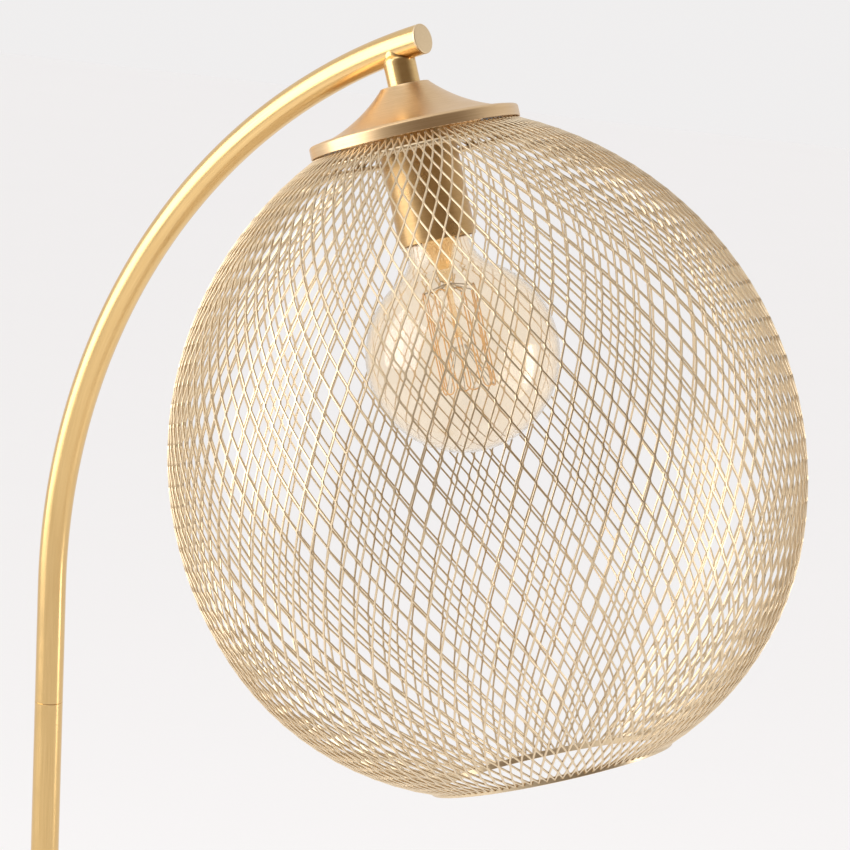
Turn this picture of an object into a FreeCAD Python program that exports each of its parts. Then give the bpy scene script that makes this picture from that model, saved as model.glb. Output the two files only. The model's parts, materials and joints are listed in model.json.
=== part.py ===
"""Floor lamp with a bent tube arm and a globe shade of expanded wire mesh.

Millimetres, +Z up. The origin is on the floor under the pole, and the arm bends
towards +X. Head pieces are drawn in the head's own frame: its origin is the
centre of the canopy's lower edge, and its +Z runs up the threaded nipple.
"""
import FreeCAD, Part
import Sketcher
import math
import os
import re

Vector = FreeCAD.Vector
ORIGIN = Vector(0, 0, 0)
UP = Vector(0, 0, 1)

# Driving dimensions: alias, value, what it measures.
SIZES = (
    ("base_radius", 140, "round base, outside"),
    ("base_height", 22, "floor to the top of the base cover"),
    ("base_sheet", 1.2, "sheet of the spun base cover"),
    ("base_edge", 5, "rounding of the base cover's upper edge"),
    ("pad_inset", 3, "base edge to felt pad edge"),
    ("pad_thickness", 1.5, "felt pad"),
    ("plate_thickness", 1.5, "bottom plate"),
    ("weight_fit", 0.5, "gap round the cast weight"),
    ("weight_web", 3.2, "iron left above the nut pocket"),
    ("weight_pocket", 12.5, "radius of the nut pocket"),
    ("channel_width", 8, "cord channel in the weight"),
    ("channel_height", 6, "cord channel in the weight"),
    ("clamp_place", 100, "cord clamp to the pole's axis"),
    ("clamp_length", 12, "cord clamp along the cord"),
    ("clamp_width", 30, "cord clamp across the cord"),
    ("clamp_screw_offset", 10, "clamp screw to the cord"),
    ("clamp_screw_radius", 1.5, "clamp screw thread"),
    ("clamp_screw_length", 9, "clamp screw below its head"),
    ("clamp_head_radius", 2.8, "clamp screw head"),
    ("clamp_head_height", 1.6, "clamp screw head"),
    ("bush_bore", 2.6, "cord inlet, inside radius"),
    ("bush_radius", 3.6, "cord inlet, radius in the cover"),
    ("bush_flange", 5, "cord inlet, flange radius"),
    ("bush_flange_thickness", 1.5, "cord inlet flange"),
    ("bush_length", 9, "cord inlet behind its flange"),
    ("cord_radius", 2, "lead inside the lamp"),
    ("cord_height", 6.8, "lead's centre above the floor"),
    ("cord_bend", 6, "bend of the lead at both ends of the pole"),
    ("foot_radius", 17, "turned foot under the pole"),
    ("foot_height", 9, "turned foot"),
    ("foot_edge", 3, "rounding of the foot"),
    ("foot_recess", 3, "depth of the pole's seat in the foot"),
    ("tube_radius", 7.5, "pole and arm tube, outside"),
    ("tube_wall", 1, "pole and arm tube"),
    ("tube_edge", 0.25, "broken edge at the tube ends"),
    ("lower_length", 543, "lower pole tube"),
    ("upper_length", 543, "upper pole tube"),
    ("stud_radius", 5, "hollow threaded stud"),
    ("stud_bore", 3.5, "bore of the hollow stud"),
    ("stud_reach", 14, "stud's reach into each bush"),
    ("bush_depth", 16, "threaded bush in a tube end"),
    ("thread_gap", 0.05, "radial gap between mating threads"),
    ("washer_radius", 10.5, "steel washer"),
    ("washer_thickness", 1.2, "steel washer"),
    ("nut_corner", 9.8, "hexagon nut, over the corners"),
    ("nut_height", 5, "hexagon nut"),
    ("nut_proud", 0.4, "thread showing past a nut"),
    ("arm_straight", 63, "straight end of the arm tube"),
    ("arm_radius", 329, "bend of the arm, centre line"),
    ("arm_turn", 70.7, "angle of the arm's bend"),
    ("nipple_turn", 68, "angle along the bend to the nipple"),
    ("cap_thickness", 1.2, "closing disc at the arm's end"),
    ("cap_spigot", 6, "closing disc's spigot"),
    ("spigot_fit", 0.1, "closing disc's spigot in the curved tube"),
    ("cap_edge", 0.5, "rounding of the closing disc"),
    ("head_tilt", 17.9, "head's axis from the vertical"),
    ("head_drop", 45.1, "arm centre line to the canopy's lower edge"),
    ("nipple_top", 4.5, "arm centre line to the nipple's top"),
    ("saddle_gap", 0.8, "saddle washer between collar and arm"),
    ("saddle_radius", 7.4, "saddle washer"),
    ("seat_gap", 0.03, "gap at curved seats"),
    ("collar_radius", 8, "collar under the arm"),
    ("collar_shoulder", 3, "rounding of the collar's shoulder"),
    ("collar_height", 14.6, "collar before its saddle is cut"),
    ("swivel_gap", 0.3, "gap under the collar, where the head turns"),
    ("canopy_height", 26.5, "canopy over its lower edge"),
    ("canopy_radius", 52, "canopy at its band"),
    ("canopy_sheet", 1, "canopy sheet"),
    ("canopy_top", 12.5, "canopy's flat top, radius"),
    ("canopy_edge", 1, "rounding of the canopy's flat top"),
    ("bell_start", 25.8, "height where the bell's curve starts"),
    ("bell_radius", 74, "curve of the bell"),
    ("bell_foot", 44, "radius at the bell's foot"),
    ("bell_foot_height", 6.9, "height of the bell's foot"),
    ("band_height", 6.2, "band round the canopy"),
    ("band_edge", 1.4, "rounding of the band"),
    ("lip_radius", 48.5, "radius of the small lip above the band"),
    ("lip_step", 0.5, "height of the small lip"),
    ("carrier_sheet", 1.2, "star that carries the cage"),
    ("carrier_gap", 0.3, "star to canopy"),
    ("carrier_hub", 11, "hub of the star"),
    ("carrier_angle", 22, "width of each arm of the star, as an angle"),
    ("spacer_radius", 7, "sleeve under the star"),
    ("holder_radius", 19, "lampholder cover, outside"),
    ("holder_sheet", 1, "lampholder cover"),
    ("holder_edge", 1.5, "rounding of the lampholder cover's top"),
    ("holder_top", 16, "top of the cover over the canopy's edge"),
    ("holder_drop", 51, "canopy's edge to the cover's mouth"),
    ("insulator_fit", 0.2, "insulator in its cover"),
    ("insulator_top", 4, "top of the insulator over the canopy's edge"),
    ("insulator_inset", 3, "cover's mouth to the insulator's mouth"),
    ("shell_radius", 13.38, "screw shell, inside"),
    ("shell_sheet", 0.5, "screw shell"),
    ("shell_depth", 27, "screw shell"),
    ("mouth_bore", 16.3, "insulator's mouth round the bulb's neck"),
    ("mouth_bore_depth", 3.5, "insulator's mouth"),
    ("well_depth", 33.5, "insulator's well"),
    ("contact_radius", 4, "centre contact"),
    ("contact_gap", 0.1, "centre contact to the bulb's pip"),
    ("terminal_offset", 10, "terminal screw to the head's axis"),
    ("terminal_radius", 2.8, "terminal screw head"),
    ("terminal_height", 1.6, "terminal screw head"),
    ("terminal_thread", 1.5, "terminal screw thread"),
    ("terminal_depth", 5, "terminal screw thread"),
    ("wire_radius", 0.9, "insulated wire to a terminal"),
    ("wire_offset", 1.1, "wire to the nipple's axis"),
    ("globe_radius", 47.5, "bulb's globe"),
    ("globe_drop", 108, "canopy's edge to the globe's centre"),
    ("glass_wall", 0.9, "bulb glass"),
    ("neck_radius", 15.5, "bulb's neck"),
    ("neck_curve", 16, "curve from the neck to the globe"),
    ("cap_radius", 13.3, "bulb's screw cap"),
    ("cap_top_drop", 22.5, "canopy's edge to the cap's shoulder"),
    ("cap_length", 24, "bulb's screw cap"),
    ("cap_wall", 0.3, "bulb's screw cap"),
    ("cap_shoulder", 8.5, "radius of the cap's flat shoulder"),
    ("vitrite_top", 6.5, "insulating glass, upper radius"),
    ("vitrite_height", 3.4, "insulating glass"),
    ("pip_radius", 4.5, "bulb's contact pip"),
    ("pip_height", 1.6, "bulb's contact pip"),
    ("stem_flare", 11, "foot of the glass stem"),
    ("stem_press", 3.4, "pinched top of the glass stem"),
    ("stem_length", 24, "foot of the stem to its press"),
    ("rod_radius", 1.7, "glass rod"),
    ("rod_length", 26, "glass rod past the press"),
    ("rod_button", 2.6, "bead at the rod's end"),
    ("filament_radius", 0.35, "filament"),
    ("filament_ring", 13, "radius of the ring of filament loops"),
    ("filament_loops", 6, "filament loops"),
    ("filament_length", 44, "straight run of a filament loop"),
    ("filament_drop", 78, "canopy's edge to the upper filament bends"),
    ("support_radius", 0.3, "wires that hold the filament"),
    ("strands", 100, "strands in each family of the mesh"),
    ("strand_width", 1.2, "strand of the mesh, along the shade's skin"),
    ("strand_thickness", 1.2, "strand of the mesh, through the skin"),
    ("knot_pitch", 10, "strand length from knot to knot"),
    ("belly_radius", 154.5, "cage's widest circle, at the strand centres"),
    ("upper_curve", 181, "cage's outline above and past the belly"),
    ("lower_curve", 144.6, "cage's outline near its mouth"),
    ("lower_start", 22, "angle below the belly where the lower curve starts"),
    ("edge_bend", 1.5, "bend of a strand into its edge band"),
    ("edge_width", 1.5, "edge band of a family of strands"),
    ("edge_thickness", 0.9, "edge band of a family of strands"),
    ("outer_edge", 49.95, "radius of the outer edge band"),
    ("inner_edge", 48.2, "radius of the inner edge band"),
    ("edge_dip", 0.89, "canopy's edge down to where the outline meets the outer band"),
    ("edge_stub", 0.2, "straight bit of a strand under its band"),
    ("hoop_wire", 1.5, "upper hoop's wire radius"),
    ("hoop_drop", 6.9, "canopy's edge to the upper hoop"),
    ("weld_depth", 0.1, "sinking of strands into the hoop and the strip"),
    ("mouth_radius", 60, "mouth strip, outside"),
    ("mouth_strip", 1, "mouth strip thickness"),
    ("mouth_height", 3, "mouth strip height"),
    ("mouth_lap", 1.5, "lap of the strands' ends below the strip's top"),
    ("arc_spans", 5, "spans of a strand, each of two arcs"),
)

# Places that follow from the sizes: alias, formula, what it is.
PLACES = (
    ("plate_top", "pad_thickness + plate_thickness", "top of the bottom plate"),
    ("weight_top", "base_height - base_sheet", "top of the cast weight"),
    ("weight_radius", "base_radius - base_sheet - weight_fit", "cast weight"),
    ("pocket_top", "weight_top - weight_web", "ceiling of the nut pocket"),
    ("base_nut_z", "pocket_top - washer_thickness - nut_height", "nut in the base"),
    ("foot_stud_z", "base_nut_z - nut_proud", "lower end of the stud in the base"),
    ("seat_z", "base_height + foot_height - foot_recess", "foot of the lower tube"),
    ("joint_z", "seat_z + lower_length", "joint of the two pole tubes"),
    ("seam_z", "joint_z + upper_length", "joint of pole and arm"),
    ("arc_z", "seam_z + arm_straight", "start of the arm's bend"),
    ("tube_bore", "tube_radius - tube_wall", "inside radius of the tubes"),
    ("thread_bore", "stud_radius + thread_gap", "threaded hole"),
    ("nipple_x", "arm_radius * (1 - cos(nipple_turn))", "nipple on the centre line"),
    ("nipple_z", "arc_z + arm_radius * sin(nipple_turn)", "nipple on the centre line"),
    ("head_x", "nipple_x + head_drop * sin(head_tilt)", "head frame's origin"),
    ("head_z", "nipple_z - head_drop * cos(head_tilt)", "head frame's origin"),
    ("collar_z", "canopy_height + swivel_gap", "underside of the collar"),
    ("hub_top", "canopy_height - canopy_sheet", "top of the star's hub"),
    ("hub_low", "hub_top - carrier_sheet", "underside of the star's hub"),
    ("cover_low", "holder_top - holder_sheet", "underside of the cover's top"),
    ("holder_nut_z", "cover_low - swivel_gap - washer_thickness - nut_height", "nut"),
    ("nipple_low", "holder_nut_z - nut_proud", "nipple's lower end"),
    ("insulator_low", "insulator_inset - holder_drop", "insulator's mouth"),
    ("well_top", "insulator_low + well_depth", "end of the insulator's well"),
    ("pip_z", "vitrite_height + pip_height - cap_top_drop", "top of the bulb's pip"),
    ("cap_low", "-cap_top_drop - cap_length", "rim of the bulb's cap"),
    ("edge_run", "outer_edge + edge_bend / 2 - belly_radius + upper_curve", "outline's centre to the band"),
    ("belly_drop", "edge_dip + sqrt(upper_curve^2 - edge_run^2)", "canopy's edge to the widest circle"),
    ("curve_step", "upper_curve - lower_curve", "between the centres of the outline's two arcs"),
    ("lower_centre", "belly_radius - upper_curve + curve_step * cos(lower_start)", "lower arc's centre"),
    ("lower_centre_z", "-belly_drop - curve_step * sin(lower_start)", "lower arc's centre"),
    ("mouth_run", "mouth_radius + weld_depth - lower_centre", "lower arc's centre to the strands' ends"),
    ("strip_z", "mouth_lap + lower_centre_z - sqrt(lower_curve^2 - mouth_run^2)", "top of the mouth strip"),
    ("star_reach", "inner_edge - edge_width / 2 - carrier_sheet - 2 * carrier_gap", "star's drop"),
    ("arc_height", "belly_drop - hoop_drop", "hoop over the widest circle"),
    ("hoop_curve", "upper_curve - strand_thickness / 2 - hoop_wire + weld_depth", "hoop's centre line"),
    ("hoop_radius_at", "belly_radius - upper_curve + sqrt(hoop_curve^2 - arc_height^2)", "hoop"),
)

doc = FreeCAD.newDocument("wire_cage_floor_lamp")


def fill_sheet(name, rows):
    """A spreadsheet with one aliased cell for each row."""
    sheet = doc.addObject("Spreadsheet::Sheet", name)
    for line, (alias, content, meaning) in enumerate(rows, start=1):
        sheet.set(f"A{line}", meaning)
        sheet.set(f"B{line}", content)
        sheet.setAlias(f"B{line}", alias)
    doc.recompute()
    return sheet


OWNER = {alias: "Sizes" for alias, _, _ in SIZES}


def bound(text):
    """A formula with each alias written with the sheet that holds it."""
    return re.sub(
        r"[a-z][a-z_0-9]*",
        lambda word: f"{OWNER[word.group()]}.{word.group()}" if word.group() in OWNER else word.group(),
        text,
    )


sizes = fill_sheet("Sizes", [(alias, str(number), meaning) for alias, number, meaning in SIZES])
places = doc.addObject("Spreadsheet::Sheet", "Places")
for line, (alias, formula, meaning) in enumerate(PLACES, start=1):
    places.set(f"A{line}", meaning)
    places.set(f"B{line}", "=" + bound(formula))
    places.setAlias(f"B{line}", alias)
    OWNER[alias] = "Places"
    doc.recompute()


def size(text):
    """The number that a formula of aliases gives."""
    return float(sizes.evalExpression(bound(text)))


# ---------------------------------------------------------------- placements
HEAD = "placement(vector(head_x; 0; head_z); rotation(vector(0; 1; 0); -head_tilt))"
WORLD = None


def place(piece, placement):
    """Binds a piece's Placement to a formula; pieces of the stand keep the world's."""
    if placement:
        piece.setExpression("Placement", bound(placement))
    return piece


# ---------------------------------------------------------------- sketches
def origin_feature(body, role):
    return next(o for o in body.Origin.OriginFeatures if o.Role == role)


def arc_through(start, end, radius):
    """The arc between two points; a positive radius turns to the left."""
    chord = end - start
    half = chord.Length / 2
    rise = math.sqrt(max(radius * radius - half * half, 0.0))
    left = Vector(-chord.y, chord.x, 0).normalize()
    side = 1 if radius > 0 else -1
    centre = (start + end) / 2 + left * rise * side
    middle = centre - left * abs(radius) * side
    # Both kinds are drawn counter-clockwise, as a sketch keeps its arcs.
    return Part.Arc(start, middle, end) if radius > 0 else Part.Arc(end, middle, start)


def outline_sketch(body, name, corners):
    """A closed outline on the XZ plane, of a body or on its own.

    A corner is (x, z) after a straight line, or (x, z, radius) after an arc.
    Every number in it is a formula of aliases, and binds the sketch.
    """
    if body:
        sketch = body.newObject("Sketcher::SketchObject", name)
        sketch.AttachmentSupport = [(origin_feature(body, "XZ_Plane"), "")]
        sketch.MapMode = "FlatFace"
    else:
        sketch = doc.addObject("Sketcher::SketchObject", name)
        sketch.Placement = FreeCAD.Placement(ORIGIN, FreeCAD.Rotation(Vector(1, 0, 0), 90))
    points = [Vector(size(c[0]), size(c[1]), 0) for c in corners]
    count = len(corners)
    for i, corner in enumerate(corners):
        start, end = points[i - 1], points[i]
        if len(corner) == 3:
            sketch.addGeometry(arc_through(start, end, size(corner[2])))
        else:
            sketch.addGeometry(Part.LineSegment(start, end))
    ends = [(2, 1) if len(c) == 3 and size(c[2]) < 0 else (1, 2) for c in corners]
    for i in range(count):
        following = (i + 1) % count
        sketch.addConstraint(
            Sketcher.Constraint("Coincident", i, ends[i][1], following, ends[following][0])
        )
    for i, corner in enumerate(corners):
        pin_coordinate(sketch, "DistanceX", i, ends[i][1], points[i].x, corner[0], -2)
        pin_coordinate(sketch, "DistanceY", i, ends[i][1], points[i].y, corner[1], -1)
        if len(corner) == 3:
            radius = sketch.addConstraint(
                Sketcher.Constraint("Radius", i, abs(size(corner[2])))
            )
            sketch.setExpression(f"Constraints[{radius}]", bound(f"abs({corner[2]})"))
    return sketch


def pin_coordinate(sketch, kind, edge, vertex, number, formula, axis):
    """Fixes one coordinate of a corner, or lays the corner on the axis."""
    if formula == "0":
        sketch.addConstraint(Sketcher.Constraint("PointOnObject", edge, vertex, axis))
        return
    index = sketch.addConstraint(Sketcher.Constraint(kind, -1, 1, edge, vertex, number))
    sketch.setExpression(f"Constraints[{index}]", bound(formula))


# ---------------------------------------------------------------- pieces
PIECES = []


def piece(shape_object, label):
    """Names a finished sub-part; its label is its file's name."""
    shape_object.Label = label
    PIECES.append(shape_object)
    return shape_object


def turned_body(label, corners, placement=WORLD):
    """A body turned from one outline about Z."""
    body = doc.addObject("PartDesign::Body", label + "_body")
    sketch = outline_sketch(body, label + "_outline", corners)
    turn = body.newObject("PartDesign::Revolution", label + "_turn")
    turn.Profile = sketch
    turn.ReferenceAxis = (sketch, ["V_Axis"])
    turn.Angle = 360
    return place(body, placement)


def turned(label, corners, placement=WORLD):
    return piece(turned_body(label, corners, placement), label)


def spun_shape(name, corners, placement=WORLD, angle="360"):
    """A turned shape whose outline has arcs with circles that reach over the axis."""
    spin = doc.addObject("Part::Revolution", name)
    spin.Source = outline_sketch(None, name + "_outline", corners)
    spin.Axis = UP
    spin.Base = ORIGIN
    spin.Solid = True
    spin.Symmetric = angle != "360"
    spin.setExpression("Angle", bound(angle))
    return place(spin, placement)


def spun(label, corners, placement=WORLD):
    return piece(spun_shape(label + "_spin", corners, placement), label)


def ring(label, outer, inner, low, high, placement=WORLD):
    """A plain turned ring or tube between two heights."""
    corners = [(inner, low), (outer, low), (outer, high), (inner, high)]
    return turned(label, corners, placement)


def disc(label, radius, low, high, placement=WORLD):
    return ring(label, radius, "0", low, high, placement)


def bind(thing, **formulas):
    """Binds several properties to formulas."""
    for name, formula in formulas.items():
        thing.setExpression(name, bound(formula))
    return thing


def cylinder(name, radius, height, placement):
    return place(bind(doc.addObject("Part::Cylinder", name), Radius=radius, Height=height), placement)


def block(name, length, width, height, placement):
    box = bind(doc.addObject("Part::Box", name), Length=length, Width=width, Height=height)
    return place(box, placement)


def cut(name, base, *tools):
    """The base less each tool in turn."""
    result = base
    for number, tool in enumerate(tools, start=1):
        step = doc.addObject("Part::Cut", f"{name}_cut_{number}")
        step.Base = result
        step.Tool = tool
        result = step
    return result


def fuse(name, *shapes):
    joined = doc.addObject("Part::MultiFuse", name)
    joined.Shapes = list(shapes)
    return joined


def at(x, y, z):
    return f"placement(vector({x}; {y}; {z}); rotation(vector(0; 0; 1); 0))"


def in_head(x, y, z):
    """A placement at a point of the head's frame, with the head's tilt."""
    return (
        f"placement(vector(head_x + ({x}) * cos(head_tilt) - ({z}) * sin(head_tilt); {y}; "
        f"head_z + ({x}) * sin(head_tilt) + ({z}) * cos(head_tilt)); "
        "rotation(vector(0; 1; 0); -head_tilt))"
    )


def hexagon_nut(label, low, placement_at):
    """A hexagon nut on the hollow stud's thread."""
    prism = doc.addObject("Part::Prism", label + "_prism")
    prism.Polygon = 6
    place(bind(prism, Circumradius="nut_corner", Height="nut_height"), placement_at("0", "0", low))
    hole = cylinder(label + "_hole", "thread_bore", "nut_height + 2", placement_at("0", "0", f"{low} - 1"))
    return piece(cut(label, prism, hole), label)


def solid_feature(label, shape, placement=WORLD):
    """A sub-part whose shape is worked out from the sheets in this script."""
    feature = doc.addObject("Part::Feature", label + "_shape")
    feature.Shape = shape
    place(feature, placement)
    return piece(feature, label)


def along_x(x, z):
    """A placement whose +Z runs towards +X."""
    return f"placement(vector({x}; 0; {z}); rotation(vector(0; 1; 0); 90))"


# ---------------------------------------------------------------- base
def base():
    disc("base_pad", "base_radius - pad_inset", "0", "pad_thickness")
    disc("base_plate", "base_radius - base_sheet - seat_gap", "pad_thickness", "plate_top")
    base_cover()
    base_weight()
    ring("base_washer", "washer_radius", "thread_bore", "pocket_top - washer_thickness", "pocket_top")
    hexagon_nut("base_nut", "base_nut_z", at)
    cord_inlet()
    cord_clamp()


def base_cover():
    body = turned_body(
        "base_cover",
        [
            ("base_radius - base_sheet", "pad_thickness"),
            ("base_radius", "pad_thickness"),
            ("base_radius", "base_height - base_edge"),
            ("base_radius - base_edge", "base_height", "base_edge"),
            ("thread_bore", "base_height"),
            ("thread_bore", "weight_top"),
            ("base_radius - base_edge", "weight_top"),
            ("base_radius - base_sheet", "base_height - base_edge", "base_sheet - base_edge"),
        ],
    )
    outside = along_x("-base_radius - base_edge", "cord_height")
    hole = cylinder("inlet_hole", "bush_radius + seat_gap", "base_edge * 2", outside)
    piece(cut("base_cover", body, hole), "base_cover")


def base_weight():
    """Cast disc with a nut pocket, a channel for the lead and a pocket for its clamp."""
    on_plate = at("0", "0", "plate_top")
    disc_body = cylinder("weight_disc", "weight_radius - base_edge", "weight_top - plate_top", on_plate)
    rim = cylinder("weight_rim", "weight_radius", "base_height - base_edge - plate_top", on_plate)
    casting = fuse("weight_casting", disc_body, rim)
    under_weight = at("0", "0", "plate_top - 1")
    pocket = cylinder("weight_nut_pocket", "weight_pocket", "pocket_top - plate_top + 1", under_weight)
    bore = cylinder("weight_bore", "thread_bore", "base_height", at("0", "0", "0"))
    channel = block(
        "weight_channel",
        "base_radius",
        "channel_width",
        "channel_height + 1",
        at("-base_radius", "-channel_width / 2", "plate_top - 1"),
    )
    clamp_pocket = block(
        "weight_clamp_pocket",
        "clamp_length + 2",
        "clamp_width + 2",
        "cord_height - plate_top + 1 + seat_gap",
        at("-clamp_place - clamp_length / 2 - 1", "-clamp_width / 2 - 1", "plate_top - 1"),
    )
    screw_holes = [
        cylinder(
            f"weight_screw_hole_{side}",
            "clamp_screw_radius + thread_gap",
            "clamp_screw_length + 1",
            at("-clamp_place", f"{side} * clamp_screw_offset", "plate_top + clamp_head_height"),
        )
        for side in (1, -1)
    ]
    inlet_room = cylinder(
        "weight_inlet_room",
        "bush_flange",
        "bush_length + 2",
        along_x("-base_radius", "cord_height"),
    )
    piece(
        cut("base_weight", casting, pocket, bore, channel, clamp_pocket, *screw_holes, inlet_room),
        "base_weight",
    )


def cord_inlet():
    """Flanged bush where the mains cord enters the base."""
    sleeve = cylinder("inlet_sleeve", "bush_radius", "bush_length", along_x("-base_radius", "cord_height"))
    flange = cylinder(
        "inlet_flange",
        "bush_flange",
        "bush_flange_thickness",
        along_x("-base_radius - bush_flange_thickness", "cord_height"),
    )
    bore = cylinder(
        "inlet_bore",
        "bush_bore",
        "bush_length + bush_flange_thickness + 2",
        along_x("-base_radius - bush_flange_thickness - 1", "cord_height"),
    )
    piece(cut("cord_inlet_bush", fuse("inlet_bush", sleeve, flange), bore), "cord_inlet_bush")


def cord_clamp():
    """Saddle that presses the lead against the weight, with its two sunk screws."""
    low = "plate_top + seat_gap"
    saddle = block(
        "clamp_block",
        "clamp_length",
        "clamp_width",
        f"cord_height - ({low})",
        at("-clamp_place - clamp_length / 2", "-clamp_width / 2", low),
    )
    groove = cylinder(
        "clamp_groove",
        "cord_radius + seat_gap",
        "clamp_length + 2",
        along_x("-clamp_place - clamp_length / 2 - 1", "cord_height"),
    )
    holes = []
    for side, label in ((1, "clamp_screw_left"), (-1, "clamp_screw_right")):
        centre = f"{side} * clamp_screw_offset"
        head_top = f"{low} + clamp_head_height"
        hole_foot = at("-clamp_place", centre, low)
        holes.append(cylinder(label + "_hole", "clamp_screw_radius + thread_gap", "cord_height", hole_foot))
        holes.append(
            cylinder(
                label + "_sink",
                "clamp_head_radius + thread_gap",
                "clamp_head_height + 1",
                at("-clamp_place", centre, f"{low} - 1"),
            )
        )
        head_foot = at("-clamp_place", centre, low)
        head = cylinder(label + "_head", "clamp_head_radius", "clamp_head_height", head_foot)
        shank = cylinder(
            label + "_shank",
            "clamp_screw_radius",
            "clamp_screw_length",
            at("-clamp_place", centre, head_top),
        )
        piece(fuse(label, head, shank), label)
    piece(cut("cord_clamp", saddle, groove, *holes), "cord_clamp")


# ---------------------------------------------------------------- pole
def tube_ring(label, low, high):
    """A straight tube with broken edges."""
    turned(
        label,
        [
            ("tube_bore", low),
            ("tube_radius - tube_edge", low),
            ("tube_radius", f"{low} + tube_edge"),
            ("tube_radius", f"{high} - tube_edge"),
            ("tube_radius - tube_edge", high),
            ("tube_bore", high),
        ],
    )


def bush(label, low, high):
    ring(label, "tube_bore", "thread_bore", low, high)


def stud(label, low, high):
    ring(label, "stud_radius", "stud_bore", low, high)


def pole():
    turned(
        "pole_foot",
        [
            ("thread_bore", "base_height"),
            ("foot_radius", "base_height"),
            ("foot_radius", "base_height + foot_height - foot_edge"),
            ("foot_radius - foot_edge", "base_height + foot_height", "foot_edge"),
            ("tube_radius + seat_gap", "base_height + foot_height"),
            ("tube_radius + seat_gap", "seat_z"),
            ("thread_bore", "seat_z"),
        ],
    )
    stud("foot_stud", "foot_stud_z", "seat_z + stud_reach")
    bush("lower_pole_foot_bush", "seat_z", "seat_z + bush_depth")
    tube_ring("lower_pole", "seat_z", "joint_z")
    bush("lower_pole_top_bush", "joint_z - bush_depth", "joint_z")
    stud("pole_stud", "joint_z - stud_reach", "joint_z + stud_reach")
    bush("upper_pole_foot_bush", "joint_z", "joint_z + bush_depth")
    tube_ring("upper_pole", "joint_z", "seam_z")
    bush("upper_pole_top_bush", "seam_z - bush_depth", "seam_z")
    stud("arm_stud", "seam_z - stud_reach", "seam_z + stud_reach")
    bush("arm_foot_bush", "seam_z", "seam_z + bush_depth")


# ---------------------------------------------------------------- arm
ARM_BEND = "placement(vector(arm_radius; 0; arc_z); rotation(vector(0; 1; 1); 180))"


def arm_rod(name, radius, low):
    """The arm's straight end and its bend, as one solid rod."""
    straight = cylinder(name + "_straight", radius, f"arc_z - ({low})", at("0", "0", low))
    bend = doc.addObject("Part::Torus", name + "_bend")
    place(bind(bend, Radius1="arm_radius", Radius2=radius, Angle3="arm_turn"), ARM_BEND)
    return fuse(name, straight, bend)


def arm_ring(name, radius):
    """The bend alone, for seats that follow the arm's underside."""
    bend = doc.addObject("Part::Torus", name)
    return place(bind(bend, Radius1="arm_radius", Radius2=radius, Angle3="arm_turn + 5"), ARM_BEND)


def arm_end(outward):
    """A placement at the arm's end, with +Z running out of the tube."""
    return (
        f"placement(vector(arm_radius * (1 - cos(arm_turn)) + ({outward}) * sin(arm_turn); 0; "
        f"arc_z + arm_radius * sin(arm_turn) + ({outward}) * cos(arm_turn)); "
        "rotation(vector(0; 1; 0); arm_turn))"
    )


def arm():
    nipple_hole = cylinder("arm_nipple_hole", "thread_bore", "head_drop", in_head("0", "0", "0"))
    tube = cut(
        "arm_tube",
        arm_rod("arm_outside", "tube_radius", "seam_z"),
        arm_rod("arm_inside", "tube_bore", "seam_z - 1"),
        nipple_hole,
    )
    piece(tube, "arm_tube")
    turned(
        "arm_end_cap",
        [
            ("0", "-cap_spigot"),
            ("tube_bore - spigot_fit", "-cap_spigot"),
            ("tube_bore - spigot_fit", "0"),
            ("tube_radius", "0"),
            ("tube_radius", "cap_thickness - cap_edge"),
            ("tube_radius - cap_edge", "cap_thickness", "cap_edge"),
            ("0", "cap_thickness"),
        ],
        arm_end("0"),
    )
    ring("nipple", "stud_radius", "stud_bore", "nipple_low", "head_drop - nipple_top", HEAD)
    collar = turned_body(
        "collar",
        [
            ("thread_bore", "collar_z"),
            ("collar_radius", "collar_z"),
            ("collar_radius", "collar_z + collar_height - collar_shoulder"),
            ("collar_radius - collar_shoulder + 0.01", "collar_z + collar_height", "collar_shoulder"),
            ("thread_bore", "collar_z + collar_height"),
        ],
        HEAD,
    )
    piece(cut("collar", collar, arm_ring("collar_saddle", "tube_radius + saddle_gap")), "collar")
    saddle = turned_body(
        "saddle_washer",
        [
            ("thread_bore", "collar_z"),
            ("saddle_radius", "collar_z"),
            ("saddle_radius", "head_drop"),
            ("thread_bore", "head_drop"),
        ],
        HEAD,
    )
    shell = cut(
        "saddle_shell",
        arm_ring("saddle_outside", "tube_radius + saddle_gap - seat_gap"),
        arm_ring("saddle_inside", "tube_radius + seat_gap"),
    )
    washer = doc.addObject("Part::Common", "saddle_washer_common")
    washer.Base = saddle
    washer.Tool = shell
    piece(washer, "saddle_washer")
    hexagon_nut("head_nut", "holder_nut_z", in_head)
    washer_low, washer_top = "holder_nut_z + nut_height", "cover_low - swivel_gap"
    ring("head_washer", "washer_radius", "thread_bore", washer_low, washer_top, HEAD)


# ---------------------------------------------------------------- lead
def arc_edge(start, middle, end):
    return Part.Arc(start, middle, end).toShape()


def line_edge(start, end):
    return Part.LineSegment(start, end).toShape()


def pipe(edges, radius):
    """A round tube along lines and tangent arcs, checked against its length."""
    wire = Part.Wire(edges)
    start = wire.Edges[0].firstVertex(True).Point
    heading = wire.Edges[0].tangentAt(wire.Edges[0].FirstParameter)
    profile = Part.Wire(Part.makeCircle(radius, start, heading))
    solid = wire.makePipeShell([profile], True, False)
    expected = math.pi * radius * radius * wire.Length
    if abs(solid.Volume - expected) > 0.01 * expected:
        raise RuntimeError(f"a pipe holds {solid.Volume:.1f} mm3, not {expected:.1f}")
    return solid


def head_point(x, y, z):
    """A point of the head's frame in the lamp's frame."""
    tilt = math.radians(size("head_tilt"))
    return Vector(
        size("head_x") + x * math.cos(tilt) - z * math.sin(tilt),
        y,
        size("head_z") + x * math.sin(tilt) + z * math.cos(tilt),
    )


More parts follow.
